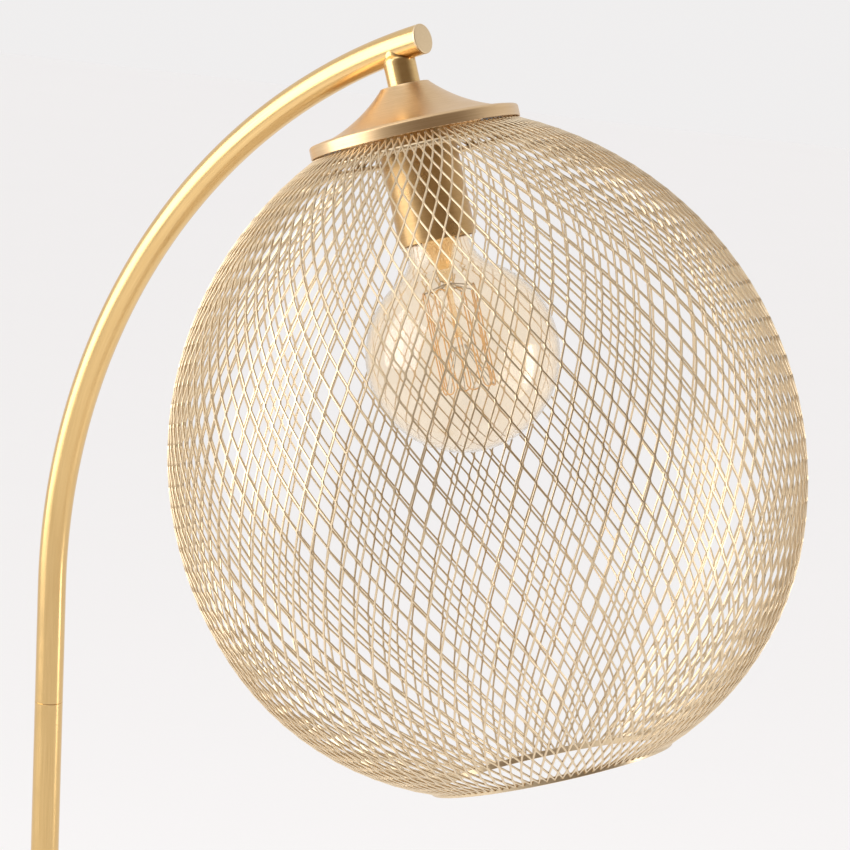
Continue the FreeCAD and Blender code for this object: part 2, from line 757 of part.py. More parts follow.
def quarter(start, corner, end, radius):
    """The arc that rounds a corner, and its two ends on the runs."""
    back = (start - corner).normalize()
    onward = (end - corner).normalize()
    half = back.getAngle(onward) / 2
    reach = radius / math.tan(half)
    first, last = corner + back * reach, corner + onward * reach
    centre = corner + (back + onward).normalize() * (radius / math.sin(half))
    middle = centre + (corner - centre).normalize() * radius
    return first, middle, last


def inner_lead():
    """The lead from the cord inlet through pole and arm to the nipple's lower end."""
    radius, bend = size("arm_radius"), size("cord_bend")
    height = size("cord_height")
    start = Vector(size("bush_length - base_radius + seat_gap"), 0, height)
    first, middle, last = quarter(start, Vector(0, 0, height), Vector(0, 0, size("arc_z")), bend)
    arc_start = Vector(0, 0, size("arc_z"))

    def on_arm(turn):
        angle = math.radians(turn)
        return arc_start + Vector(radius * (1 - math.cos(angle)), 0, radius * math.sin(angle))

    nipple = on_arm(size("nipple_turn"))
    drop = head_point(0, 0, 0) - nipple
    # The arm is nearly straight over the last bend, so the bend starts on its centre line.
    turn_back = size("nipple_turn") - math.degrees(bend * 1.0 / radius)
    arm_stop = on_arm(turn_back)
    angle = math.radians(turn_back)
    heading = Vector(math.sin(angle), 0, math.cos(angle))
    down = drop.normalize()
    # The corner is where the arm's tangent meets the nipple's axis.
    offset = arm_stop - nipple
    along = (offset.cross(down)).Length / (heading.cross(down)).Length
    corner = arm_stop + heading * along
    leave, round_middle, arrive = quarter(arm_stop, corner, corner + down, bend * 0.85)
    end = head_point(0, 0, size("nipple_low"))
    edges = [
        line_edge(start, first),
        arc_edge(first, middle, last),
        line_edge(last, arc_start),
        arc_edge(arc_start, on_arm(turn_back / 2), arm_stop),
        line_edge(arm_stop, leave),
        arc_edge(leave, round_middle, arrive),
        line_edge(arrive, end),
    ]
    solid_feature("inner_lead", pipe(edges, size("cord_radius")))


# ---------------------------------------------------------------- head
CARRIER_FOOT = "bell_foot_height - canopy_sheet - carrier_gap"


def canopy():
    """Spun bell with a flat top, a small lip and a band."""
    inner = "canopy_radius - canopy_sheet"
    spun(
        "canopy",
        [
            ("thread_bore", "hub_top"),
            ("canopy_top - canopy_sheet", "hub_top"),
            ("bell_foot", "bell_foot_height - canopy_sheet", "bell_radius + canopy_sheet"),
            (f"{inner} - band_edge + canopy_sheet", "band_height - canopy_sheet"),
            (inner, "band_height - band_edge", "canopy_sheet - band_edge"),
            (inner, "0"),
            ("canopy_radius", "0"),
            ("canopy_radius", "band_height - band_edge"),
            ("canopy_radius - band_edge", "band_height", "band_edge"),
            ("lip_radius", "band_height"),
            ("lip_radius", "band_height + lip_step"),
            ("bell_foot", "bell_foot_height"),
            ("canopy_top", "bell_start", "-bell_radius"),
            ("canopy_top - canopy_edge", "canopy_height", "canopy_edge"),
            ("thread_bore", "canopy_height"),
        ],
        HEAD,
    )


def cage_carrier():
    """Star under the canopy: a hub on the nipple and three arms down to the hoop."""
    hub = turned_body(
        "carrier_hub_disc",
        [
            ("thread_bore", "hub_low"),
            ("carrier_hub", "hub_low"),
            ("carrier_hub", "hub_top"),
            ("thread_bore", "hub_top"),
        ],
    )
    arms = [
        spun_shape(
            f"carrier_arm_{number}",
            [
                ("carrier_hub - 1", "hub_low"),
                ("carrier_hub", "hub_low"),
                ("bell_foot - 1", f"{CARRIER_FOOT} - 1.3 * carrier_sheet", "bell_radius + 3 * canopy_sheet"),
                ("star_reach", f"{CARRIER_FOOT} - 1.3 * carrier_sheet"),
                ("star_reach", "-hoop_drop - carrier_sheet / 2"),
                ("hoop_radius_at", "-hoop_drop - carrier_sheet / 2"),
                ("hoop_radius_at", "carrier_sheet / 2 - hoop_drop"),
                ("star_reach + carrier_sheet", "carrier_sheet / 2 - hoop_drop"),
                ("star_reach + carrier_sheet", CARRIER_FOOT),
                ("bell_foot - 1", CARRIER_FOOT),
                ("carrier_hub", "hub_top - carrier_gap", "-bell_radius - 2 * canopy_sheet"),
                ("carrier_hub - 1", "hub_top - carrier_gap"),
            ],
            f"placement(vector(0; 0; 0); rotation(vector(0; 0; 1); {120 * number}))",
            "carrier_angle",
        )
        for number in range(3)
    ]
    star = fuse("cage_carrier_star", hub, *arms)
    piece(place(star, HEAD), "cage_carrier")


def holder():
    """Cover, insulator, screw shell, contacts, terminals and their wires."""
    inner = "holder_radius - holder_sheet"
    ring("spacer_sleeve", "spacer_radius", "thread_bore", "holder_top", "hub_low", HEAD)
    turned(
        "holder_cover",
        [
            (inner, "-holder_drop"),
            ("holder_radius", "-holder_drop"),
            ("holder_radius", "holder_top - holder_edge"),
            ("holder_radius - holder_edge", "holder_top", "holder_edge"),
            ("thread_bore", "holder_top"),
            ("thread_bore", "cover_low"),
            (inner, "cover_low"),
        ],
        HEAD,
    )
    insulator = f"{inner} - insulator_fit"
    body = turned_body(
        "holder_insulator",
        [
            ("mouth_bore", "insulator_low"),
            (insulator, "insulator_low"),
            (insulator, "insulator_top"),
            ("0", "insulator_top"),
            ("0", "well_top"),
            ("shell_radius + shell_sheet", "well_top"),
            ("shell_radius + shell_sheet", "insulator_low + mouth_bore_depth"),
            ("mouth_bore", "insulator_low + mouth_bore_depth"),
        ],
        HEAD,
    )
    threads = [
        cylinder(
            f"insulator_thread_{side}",
            "terminal_thread + thread_gap",
            "terminal_depth + 1",
            in_head("0", f"{side} * terminal_offset", "insulator_top - terminal_depth"),
        )
        for side in (1, -1)
    ]
    piece(cut("holder_insulator", body, *threads), "holder_insulator")
    ring(
        "screw_shell",
        "shell_radius + shell_sheet",
        "shell_radius",
        "insulator_low + mouth_bore_depth",
        "insulator_low + mouth_bore_depth + shell_depth",
        HEAD,
    )
    disc("centre_contact", "contact_radius", "pip_z + contact_gap", "well_top", HEAD)
    for side, name in ((1, "live"), (-1, "neutral")):
        terminal(side, name)


def terminal(side, name):
    """A terminal screw and the wire that bends over to it."""
    centre = f"{side} * terminal_offset"
    seat = in_head("0", centre, "insulator_top")
    head = cylinder(name + "_head", "terminal_radius", "terminal_height", seat)
    thread = cylinder(
        name + "_thread",
        "terminal_thread",
        "terminal_depth",
        in_head("0", centre, "insulator_top - terminal_depth"),
    )
    piece(fuse(name + "_terminal", head, thread), name + "_terminal")
    near = side * size("wire_offset")
    far = side * size("terminal_offset - terminal_radius")
    low = size("insulator_top + wire_radius + seat_gap")
    top = size("nipple_low - seat_gap")
    start, corner, end = Vector(0, near, top), Vector(0, near, low), Vector(0, far, low)
    first, middle, last = quarter(start, corner, end, (top - low) * 0.8)
    edges = [line_edge(start, first), arc_edge(first, middle, last), line_edge(last, end)]
    solid_feature(name + "_wire", pipe(edges, size("wire_radius")), HEAD)


# ---------------------------------------------------------------- bulb
def bulb():
    """Screw-cap globe bulb with a glass stem and looped filaments."""
    reach = "sqrt((globe_radius + neck_curve)^2 - (neck_radius + neck_curve)^2)"
    share = "globe_radius / (globe_radius + neck_curve)"
    inner = "(globe_radius - glass_wall)"
    inner_share = "(globe_radius - glass_wall) / (globe_radius + neck_curve)"
    spun(
        "bulb_glass",
        [
            ("neck_radius - glass_wall", "cap_low"),
            ("neck_radius", "cap_low"),
            ("neck_radius", f"{reach} - globe_drop"),
            (f"(neck_radius + neck_curve) * {share}", f"{reach} * {share} - globe_drop", "neck_curve"),
            ("globe_radius", "-globe_drop", "-globe_radius"),
            ("0", "-globe_drop - globe_radius", "-globe_radius"),
            ("0", "glass_wall - globe_drop - globe_radius"),
            (inner, "-globe_drop", inner),
            (f"(neck_radius + neck_curve) * {inner_share}", f"{reach} * {inner_share} - globe_drop", inner),
            ("neck_radius - glass_wall", f"{reach} - globe_drop", "-neck_curve - glass_wall"),
        ],
        HEAD,
    )
    turned(
        "bulb_cap",
        [
            ("cap_radius - cap_wall", "cap_low"),
            ("neck_radius - glass_wall", "cap_low"),
            ("neck_radius - glass_wall", "cap_low + cap_wall"),
            ("cap_radius", "cap_low + 3 * cap_wall"),
            ("cap_radius", "-cap_top_drop - 2"),
            ("cap_shoulder", "-cap_top_drop"),
            ("vitrite_top", "-cap_top_drop"),
            ("vitrite_top", "-cap_top_drop - cap_wall"),
            ("cap_shoulder", "-cap_top_drop - cap_wall"),
            ("cap_radius - cap_wall", "-cap_top_drop - 2 - cap_wall"),
        ],
        HEAD,
    )
    turned(
        "bulb_insulator",
        [
            ("0", "-cap_top_drop"),
            ("cap_shoulder", "-cap_top_drop"),
            ("pip_radius", "vitrite_height - cap_top_drop"),
            ("0", "vitrite_height - cap_top_drop"),
        ],
        HEAD,
    )
    turned(
        "bulb_pip",
        [
            ("0", "vitrite_height - cap_top_drop"),
            ("pip_radius", "vitrite_height - cap_top_drop"),
            ("pip_radius - pip_height", "pip_z", "pip_height"),
            ("0", "pip_z"),
        ],
        HEAD,
    )
    bulb_stem()
    bulb_filament()


def bulb_stem():
    """Glass flare sealed to the neck, its press and the rod with its bead."""
    press = "cap_low - stem_length"
    turned(
        "bulb_stem",
        [
            ("0", "cap_low - 1"),
            ("neck_radius - glass_wall", "cap_low - 1"),
            ("neck_radius - glass_wall", "cap_low - 2"),
            ("stem_flare", "cap_low - 3"),
            ("stem_press", f"{press}"),
            ("rod_radius", f"{press} - 1"),
            ("rod_radius", f"{press} - rod_length"),
            ("rod_button", f"{press} - rod_length"),
            ("rod_button", f"{press} - rod_length - rod_button"),
            ("0", f"{press} - rod_length - rod_button"),
        ],
        HEAD,
    )


def bulb_filament():
    """Hairpin loops in a ring round the rod, and the wires that hold their bends."""
    loops = int(size("filament_loops"))
    ring_radius = size("filament_ring")
    step = math.pi / loops
    bend = ring_radius * math.sin(step / 2)
    top = -size("filament_drop")
    low = top - size("filament_length")
    posts = [
        Vector(ring_radius * math.cos(step * k), ring_radius * math.sin(step * k), 0)
        for k in range(2 * loops)
    ]
    edges = []
    for k in range(2 * loops - 1):
        here, following = posts[k], posts[k + 1]
        down = k % 2 == 0
        near, far = (top, low) if down else (low, top)
        edges.append(line_edge(here + UP * near, here + UP * far))
        swing = -1 if down else 1
        middle = (here + following) / 2 + UP * (far + swing * bend)
        edges.append(arc_edge(here + UP * far, middle, following + UP * far))
    edges.append(line_edge(posts[-1] + UP * low, posts[-1] + UP * top))
    solid_feature("bulb_filament", pipe(edges, size("filament_radius")), HEAD)
    supports = []
    press = size("cap_low - stem_length")
    bead = press - size("rod_length + rod_button / 2")
    wire = size("support_radius")
    reach = ring_radius * math.cos(step / 2)
    gap = wire + size("filament_radius")
    for k in range(2 * loops - 1):
        around = (posts[k] + posts[k + 1]).normalize()
        low_bend = k % 2 == 0
        height = low - bend + gap if low_bend else top + bend - gap
        root = bead if low_bend else press - 1.5
        stem = size("rod_button") if low_bend else size("rod_radius")
        supports.append(support_wire(wire, stem, UP * root, around * reach + UP * height))
    over_end = top + wire + size("seat_gap")
    for post in (posts[0], posts[-1]):
        end = post + UP * over_end
        supports.append(support_wire(wire, size("rod_radius"), UP * (press - 1.5), end))
    solid_feature("bulb_supports", Part.makeCompound(supports), HEAD)


def support_wire(wire, stem, root, end):
    """A straight wire to the filament from the surface of the stem."""
    run = end - root
    rod = Part.makeCylinder(wire, run.Length, root, run)
    return rod.cut(Part.makeCylinder(stem, 400, Vector(0, 0, -400)))


# ---------------------------------------------------------------- cage
def cage_outline():
    """The cage's outline as arcs in the head frame: (centre, radius, from, to) with
    angles measured at each centre, from the widest circle, positive downwards."""
    belly, curve = size("belly_radius"), size("upper_curve")
    upper_centre = Vector(belly - curve, 0, -size("belly_drop"))
    start = math.radians(size("lower_start"))
    shift = curve - size("lower_curve")
    lower_centre = upper_centre + Vector(shift * math.cos(start), 0, -shift * math.sin(start))
    return upper_centre, lower_centre, start


def outline_point(length_from_belly):
    """(radius, height, tangent angle) at a length along the outline, positive downwards."""
    upper_centre, lower_centre, start = cage_outline()
    curve = size("upper_curve")
    angle = length_from_belly / curve
    centre = upper_centre
    if angle > start:
        lower = size("lower_curve")
        angle = start + (length_from_belly - start * curve) / lower
        centre, curve = lower_centre, lower
    return centre.x + curve * math.cos(angle), centre.z - curve * math.sin(angle), angle


def length_at_radius(radius, below):
    """The outline's length from the widest circle to a smaller radius, above or below it."""
    upper_centre, lower_centre, start = cage_outline()
    if not below:
        curve = size("upper_curve")
        return -curve * math.acos((radius - upper_centre.x) / curve)
    lower = size("lower_curve")
    angle = math.acos((radius - lower_centre.x) / lower)
    return start * size("upper_curve") + (angle - start) * lower


def biarc(start, heading, end, arrival):
    """Two arcs that leave start along heading and reach end along arrival."""
    gap = end - start
    both = heading + arrival
    a = 2 * (heading.dot(arrival) - 1)
    b = -2 * gap.dot(both)
    c = gap.dot(gap)
    if abs(a) < 1e-9:
        reach = -c / b
    else:
        reach = (-b - math.sqrt(b * b - 4 * a * c)) / (2 * a)
    joint = (start + heading * reach + end - arrival * reach) / 2
    return (start, heading, joint), (end, arrival * -1, joint)


def turn_of(point, heading, target):
    """(centre, axis, angle in degrees) of the arc from a point along a heading to a target."""
    chord = target - point
    side = chord - heading * chord.dot(heading)
    radius = chord.dot(chord) / (2 * side.Length)
    centre = point + side.normalize() * radius
    axis = heading.cross(side).normalize() * -1
    angle = 2 * math.degrees(heading.getAngle(chord))
    return centre, axis * -1, angle


def strand_arcs(lean, edge):
    """The arcs of one strand, from its edge band down to the mouth strip."""
    bend = size("edge_bend")
    last = length_at_radius(size("mouth_radius + weld_depth"), True)
    first = edge_length(edge)
    radius, height, angle = outline_point(first)
    lean_in = -angle
    top_radius = radius - bend * (1 - math.cos(lean_in))
    top = Vector(top_radius, 0, height + bend * math.sin(lean_in))
    rate = lean * math.pi / (size("strands") * size("knot_pitch"))
    spans = int(size("arc_spans"))
    stations = [first + (last - first) * k / spans for k in range(spans + 1)]
    arcs = [turn_of(top, Vector(0, 0, -1), Vector(radius, 0, height))]
    nodes = [strand_node(s, (s - first) * rate, rate) for s in stations]
    nodes[0] = (nodes[0][0], Vector(math.sin(lean_in), 0, -math.cos(lean_in)))
    for (p0, t0), (p1, t1) in zip(nodes, nodes[1:]):
        near, far = biarc(p0, t0, p1, t1)
        arcs.append(turn_of(*near))
        centre, axis, angle = turn_of(*far)
        arcs.append((centre, axis * -1, angle))
    return top, arcs


def edge_length(edge):
    """Length from the widest circle up to where a strand meets its small edge bend."""
    bend = size("edge_bend")
    length = length_at_radius(edge + bend / 2, False)
    for _ in range(20):
        radius, _, angle = outline_point(length)
        wanted = edge + bend * (1 - math.cos(-angle))
        length += (wanted - radius) / max(math.sin(-angle), 0.1)
    return length


def strand_node(length, turned_by, rate):
    """(point, unit tangent) of a strand at a length along the outline."""
    radius, height, angle = outline_point(length)
    outward = Vector(math.cos(turned_by), math.sin(turned_by), 0)
    sideways = Vector(-math.sin(turned_by), math.cos(turned_by), 0)
    tangent = outward * -math.sin(angle) + UP * -math.cos(angle) + sideways * (radius * rate)
    return outward * radius + UP * height, tangent.normalize()


def strand_family(label, lean, edge):
    """One family of strands that lean the same way, with the edge band that joins them."""
    count = int(size("strands"))
    top, arcs = strand_arcs(lean, edge)
    stub = size("edge_stub")
    band_low = top.z + stub
    square = strand_section(Vector(top.x, 0, band_low))
    skin = []
    ends = []
    for side in square:
        skin.append(side.extrude(Vector(0, 0, -stub)))
        moving = side.translated(Vector(0, 0, -stub))
        for centre, axis, angle in arcs:
            skin.append(moving.revolve(centre, axis, angle))
            moving = moving.rotated(centre, axis, angle)
        ends.append(moving)
    skin.append(Part.Face(Part.Wire(Part.__sortEdges__(ends))))
    faces = []
    holes = []
    for k in range(count):
        turn = 360.0 * k / count
        faces += [face.rotated(ORIGIN, UP, turn) for face in skin]
        holes.append(Part.Wire(square).rotated(ORIGIN, UP, turn))
    faces += edge_band(edge, band_low, holes)
    shell = Part.Compound(faces)
    shell.sewShape()
    solid = Part.Solid(shell.Shells[0])
    if solid.Volume < 0:
        solid.reverse()
    print(label, "strand length from band to mouth", round(sum_of_arcs(arcs, top), 1))
    return solid_feature(label, solid, HEAD)


def strand_section(centre):
    """The four edges of a strand's square section, level, where it leaves its band."""
    x, y = size("strand_thickness / 2"), size("strand_width / 2")
    corners = [centre + Vector(*c) for c in ((x, y, 0), (-x, y, 0), (-x, -y, 0), (x, -y, 0))]
    return [line_edge(corners[i - 1], corners[i]) for i in range(4)]


def sum_of_arcs(arcs, top):
    """Length of a strand, from its arcs."""
    total, point = 0.0, top
    for centre, axis, angle in arcs:
        total += math.radians(angle) * (point - centre).Length
        point = centre + FreeCAD.Rotation(axis, angle).multVec(point - centre)
    return total


def edge_band(edge, low, holes):
    """Faces of a flat band whose underside has a hole for each strand."""
    inside = edge - size("edge_width") / 2
    outside = edge + size("edge_width") / 2
    thickness = size("edge_thickness")
    rings = [Part.makeCircle(r, Vector(0, 0, low), UP) for r in (outside, inside)]
    walls = [ring_edge.extrude(Vector(0, 0, thickness)) for ring_edge in rings]
    top_rings = [Part.Wire(ring_edge.translated(Vector(0, 0, thickness))) for ring_edge in rings]
    maker = "Part::FaceMakerBullseye"
    top = Part.makeFace(Part.Compound(top_rings), maker)
    underside = Part.makeFace(Part.Compound([Part.Wire(r) for r in rings] + holes), maker)
    return walls + [top, underside]


def cage():
    strand_family("cage_strands_left", -1, size("outer_edge"))
    strand_family("cage_strands_right", 1, size("inner_edge"))
    hoop = doc.addObject("Part::Torus", "upper_hoop_ring")
    bind(hoop, Radius1="hoop_radius_at", Radius2="hoop_wire")
    place(hoop, in_head("0", "0", "-hoop_drop"))
    piece(hoop, "upper_hoop")
    strip_low = "strip_z - mouth_height"
    ring("mouth_ring", "mouth_radius", "mouth_radius - mouth_strip", strip_low, "strip_z", HEAD)


# ---------------------------------------------------------------- build
def check_pieces():
    """Stops on a failed object, or a sub-part that is null or not valid."""
    failed = [o.Name for o in doc.Objects if set(o.State) & {"Invalid", "Error"}]
    if failed:
        raise RuntimeError(f"objects failed: {failed}")
    for sub_part in PIECES:
        shape = sub_part.Shape
        if shape.isNull() or not shape.isValid() or shape.Volume <= 0:
            raise RuntimeError(f"{sub_part.Label} has no valid shape")


def export_pieces():
    os.makedirs("parts", exist_ok=True)
    for sub_part in PIECES:
        sub_part.Shape.exportStep(f"parts/{sub_part.Label}.step")
        print(f"{sub_part.Label}: {len(sub_part.Shape.Solids)} solid(s), {sub_part.Shape.Volume:.1f} mm3")


base()
pole()
arm()
inner_lead()
canopy()
cage_carrier()
holder()
bulb()
cage()
doc.recompute()
check_pieces()
export_pieces()
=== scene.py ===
# %% [markdown]
# A floor lamp with a bent brass arm and a globe shade of expanded wire mesh.
# The imported CAD model comes first, as a fixed frame: every piece that is built below sits where that frame says.

# %% Load the frame
import json
import math

import bmesh
import bpy
from mathutils import Matrix, Vector


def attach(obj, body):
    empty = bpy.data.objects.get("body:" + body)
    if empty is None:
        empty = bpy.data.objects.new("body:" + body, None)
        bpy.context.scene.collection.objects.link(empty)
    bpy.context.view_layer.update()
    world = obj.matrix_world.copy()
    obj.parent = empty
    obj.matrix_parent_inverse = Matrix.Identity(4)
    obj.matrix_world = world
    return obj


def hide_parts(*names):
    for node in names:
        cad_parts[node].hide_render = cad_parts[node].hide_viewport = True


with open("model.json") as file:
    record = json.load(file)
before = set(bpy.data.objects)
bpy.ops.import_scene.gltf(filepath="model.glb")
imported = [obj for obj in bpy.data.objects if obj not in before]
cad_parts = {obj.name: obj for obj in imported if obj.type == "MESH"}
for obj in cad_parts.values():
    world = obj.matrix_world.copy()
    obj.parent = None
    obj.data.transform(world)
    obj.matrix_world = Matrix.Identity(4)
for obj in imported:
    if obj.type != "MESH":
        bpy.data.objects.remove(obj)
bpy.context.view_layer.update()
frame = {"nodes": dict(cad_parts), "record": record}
nodes = frame["nodes"]
mm = 0.001

# %% [markdown]
# The head hangs at a slant from the arm. Its pieces are round about one axis,
# so they are far easier to draw upright, at the origin, and then to set in
# place with a single matrix. The record's swivel joint holds that place: its
# point is the middle of the canopy's lower edge, and its axis runs up the
# threaded nipple. A small helper turns that point and axis into the matrix.

# %% The head's own axes
swivel = next(j for j in frame["record"]["behaviour"]["joints"] if j["name"] == "head_swivel")
head_origin = Vector(swivel["pos_m"])
head_axis = Vector(swivel["axis"]).normalized()
head_tilt = math.atan2(-head_axis.x, head_axis.z)
HEAD = Matrix.Translation(head_origin) @ Matrix.Rotation(-head_tilt, 4, "Y")
STAND = Matrix.Identity(4)
print("head tilt:", round(math.degrees(head_tilt), 2))

# %% [markdown]
# The camera stands a little above the shade and looks down at it by eleven
# degrees, through a long lens, so the globe hardly widens with nearness. It is
# aimed at a point inside the shade and then panned by a degree, which puts the
# shade a little right of the middle and leaves room for the arm on its left.

# %% Camera
IMAGE = 850
FOCAL_PIXELS = 3632.0
CAMERA_AZIMUTH, CAMERA_ELEVATION, CAMERA_ROLL = (math.radians(a) for a in (32.28, 11.38, 2.88))
CAMERA_DISTANCE = 1770.5 * mm
AIM_DROP = 160 * mm
AIM_PIXEL = (485.26, 459.61)

aim = head_origin - head_axis * AIM_DROP
back = Vector(
    (
        math.sin(CAMERA_AZIMUTH) * math.cos(CAMERA_ELEVATION),
        -math.cos(CAMERA_AZIMUTH) * math.cos(CAMERA_ELEVATION),
        math.sin(CAMERA_ELEVATION),
    )
)
level_right = Vector((math.cos(CAMERA_AZIMUTH), math.sin(CAMERA_AZIMUTH), 0))
level_up = back.cross(level_right)
right = level_right * math.cos(CAMERA_ROLL) + level_up * math.sin(CAMERA_ROLL)
up = level_up * math.cos(CAMERA_ROLL) - level_right * math.sin(CAMERA_ROLL)
pan = (IMAGE / 2 - AIM_PIXEL[0]) / FOCAL_PIXELS
tilt = (AIM_PIXEL[1] - IMAGE / 2) / FOCAL_PIXELS
look = (right * pan + up * tilt - back).normalized()
side = look.cross(up).normalized()
lens_axes = Matrix((side, side.cross(look), -look)).transposed()

camera = bpy.data.objects.new("camera", bpy.data.cameras.new("camera"))
bpy.context.scene.collection.objects.link(camera)
camera.data.sensor_width = 36
camera.data.lens = 36 * FOCAL_PIXELS / IMAGE
camera.matrix_world = Matrix.Translation(aim + back * CAMERA_DISTANCE) @ lens_axes.to_4x4()
bpy.context.scene.camera = camera
print("lens:", round(camera.data.lens, 1), "mm")

# %% [markdown]
# Turned pieces make up most of this lamp: canopy, collar, holder, base, bulb.
# Each is drawn as half of its section and spun about Z. A profile could be
# typed in as a long list of points, but it is shorter and smoother to draw it
# as a craftsman would: straight runs, made by extruding the last vertex, and
# arcs, made by spinning that vertex about the arc's centre.

# %% Drawing a profile
Y_AXIS = (0, 1, 0)
Z_AXIS = (0, 0, 1)


def at(radius, height):
    """A point of a profile, in millimetres, in the plane that the spin starts from."""
    return Vector((radius, 0, height)) * mm


def run_to(bm, vertex, radius, height):
    """Extrudes the last vertex to a new corner."""
    new = bmesh.ops.extrude_vert_indiv(bm, verts=[vertex])["verts"][0]
    new.co = at(radius, height)
    return new


def arc_about(bm, vertex, radius, height, degrees, steps=12):
    """Spins the last vertex about a centre; positive turns from +Z towards +X."""
    made = bmesh.ops.spin(
        bm, geom=[vertex], cent=at(radius, height), axis=Y_AXIS, angle=math.radians(degrees), steps=steps
    )
    return next(g for g in made["geom_last"] if isinstance(g, bmesh.types.BMVert))


def profile(start, moves):
    """A bmesh that holds a profile: runs are (r, z), arcs are (r, z, degrees, steps)."""
    bm = bmesh.new()
    vertex = bm.verts.new(at(*start))
    for move in moves:
        vertex = run_to(bm, vertex, *move) if len(move) == 2 else arc_about(bm, vertex, *move)
    return bm


def lathe(bm, steps=96):
    """Spins the whole profile once round Z and closes what it leaves open."""
    bmesh.ops.remove_doubles(bm, verts=bm.verts, dist=0.002 * mm)
    bmesh.ops.spin(
        bm,
        geom=bm.verts[:] + bm.edges[:],
        cent=(0, 0, 0),
        axis=Z_AXIS,
        angle=math.tau,
        steps=steps,
        use_merge=True,
    )
    bmesh.ops.remove_doubles(bm, verts=bm.verts, dist=0.002 * mm)
    bmesh.ops.recalc_face_normals(bm, faces=bm.faces)
    return bm


# %% [markdown]
# A finished bmesh becomes an object in one step. The place is baked into the
# mesh, because the object itself stays at the origin as a CAD node's does.
# Smooth shading suits round metal, but real edges must stay crisp, so edges
# that turn by more than thirty degrees are marked sharp. The same helper says
# which body the piece rides on, which CAD node it stands for, and its slot.

# %% Finishing a piece
SHARP_ANGLE = math.radians(30)
made_pieces = []


def make_piece(bm, name, material, body, stands_for=(), place=STAND):
    """Turns a bmesh into a placed, smooth object that rides on a body."""
    bmesh.ops.transform(bm, matrix=place, verts=bm.verts)
    mesh = bpy.data.meshes.new(name)
    bm.to_mesh(mesh)
    bm.free()
    mesh.shade_smooth()
    mesh.set_sharp_from_angle(angle=SHARP_ANGLE)
    mesh.materials.append(material)
    piece = bpy.data.objects.new(name, mesh)
    bpy.context.scene.collection.objects.link(piece)
    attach(piece, body)
    if stands_for:
        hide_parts(*stands_for)
    made_pieces.append(piece)
    print(name, len(mesh.polygons), "faces")
    return piece


# %% [markdown]
# Shader nodes are easier to read when each is made in one line. The helper
# below makes a node, sets its values and takes links for its inputs. A socket
# can be named or numbered, since maths nodes have inputs that share a name.

# %% Making shader nodes
def add_node(tree, kind, inputs=None, **settings):
    """A node with its settings; each input is a value or a socket to link from."""
    node = tree.nodes.new(kind)
    for key, value in settings.items():
        setattr(node, key, value)
    for key, value in (inputs or {}).items():
        if isinstance(value, bpy.types.NodeSocket):
            tree.links.new(value, node.inputs[key])
        else:
            node.inputs[key].default_value = value
    return node


def maths(tree, operation, first, second=0.0, third=0.0):
    """The output of one maths node."""
    inputs = {0: first, 1: second, 2: third}
    return add_node(tree, "ShaderNodeMath", inputs, operation=operation).outputs[0]


# A mix node's colour sockets come after its float and vector ones.
COLOUR_A, COLOUR_B, COLOUR_RESULT = 6, 7, 2


def colour_mix(tree, factor, first, second):
    """The output of a colour mix; each colour is four numbers or a socket."""
    inputs = {"Factor": factor, COLOUR_A: first, COLOUR_B: second}
    return add_node(tree, "ShaderNodeMix", inputs, data_type="RGBA").outputs[COLOUR_RESULT]


def new_group(name, inputs, outputs):
    """An empty shader group with named float, vector or colour sockets."""
    group = bpy.data.node_groups.new(name, "ShaderNodeTree")
    kinds = {"float": "NodeSocketFloat", "vector": "NodeSocketVector", "color": "NodeSocketColor"}
    for direction, sockets in (("INPUT", inputs), ("OUTPUT", outputs)):
        for label, kind in sockets.items():
            group.interface.new_socket(name=label, in_out=direction, socket_type=kinds[kind])
    return group, group.nodes.new("NodeGroupInput").outputs, group.nodes.new("NodeGroupOutput").inputs


def use_group(tree, group, inputs):
    """A group placed in a tree, with its values."""
    return add_node(tree, "ShaderNodeGroup", inputs, node_tree=group).outputs


def new_material(name):
    """A material with an empty tree but for its surface and output."""
    material = bpy.data.materials.new(name)
    material.use_nodes = True
    tree = material.node_tree
    return material, tree, tree.nodes["Principled BSDF"]


# %% [markdown]
# Brushed metal is one effect with two directions. On a spun piece the marks
# run round the axis, so the pattern must change fast with radius and height
# and slowly with the angle. On a drawn tube they run along it. In both cases
# the marks are a noise that is stretched a hundredfold, and the same group can
# serve both when it is handed coordinates that are stretched beforehand.
# Hands and cloths leave broader, softer patches, which a second noise gives.

# %% Group: brushed marks
brush_marks, given, out = new_group(
    "brush_marks",
    {"Across": "vector", "Around": "float", "Place": "vector", "Strength": "float"},
    {"Tone": "float", "Height": "float", "Patch": "float"},
)
fine = add_node(
    brush_marks,
    "ShaderNodeTexNoise",
    {"Vector": given["Across"], "W": given["Around"], "Scale": 1.0, "Detail": 3.0, "Roughness": 0.62},
    noise_dimensions="4D",
).outputs["Fac"]
broad = add_node(
    brush_marks, "ShaderNodeTexNoise", {"Vector": given["Place"], "Scale": 42.0, "Detail": 3.0, "Roughness": 0.55}
).outputs["Fac"]
centred = maths(brush_marks, "SUBTRACT", fine, 0.5)
scaled = maths(brush_marks, "MULTIPLY", centred, given["Strength"])
brush_marks.links.new(maths(brush_marks, "ADD", scaled, 0.5), out["Tone"])
brush_marks.links.new(fine, out["Height"])
brush_marks.links.new(broad, out["Patch"])
print("group:", brush_marks.name)

# %% [markdown]
# Coordinates for spun pieces: the object's own coordinates are first brought
# upright with a Mapping node of the Texture kind, which undoes the head's
# place. Radius and height are then multiplied up, and the angle goes in as its
# cosine and sine, so that there is no seam where the circle closes.

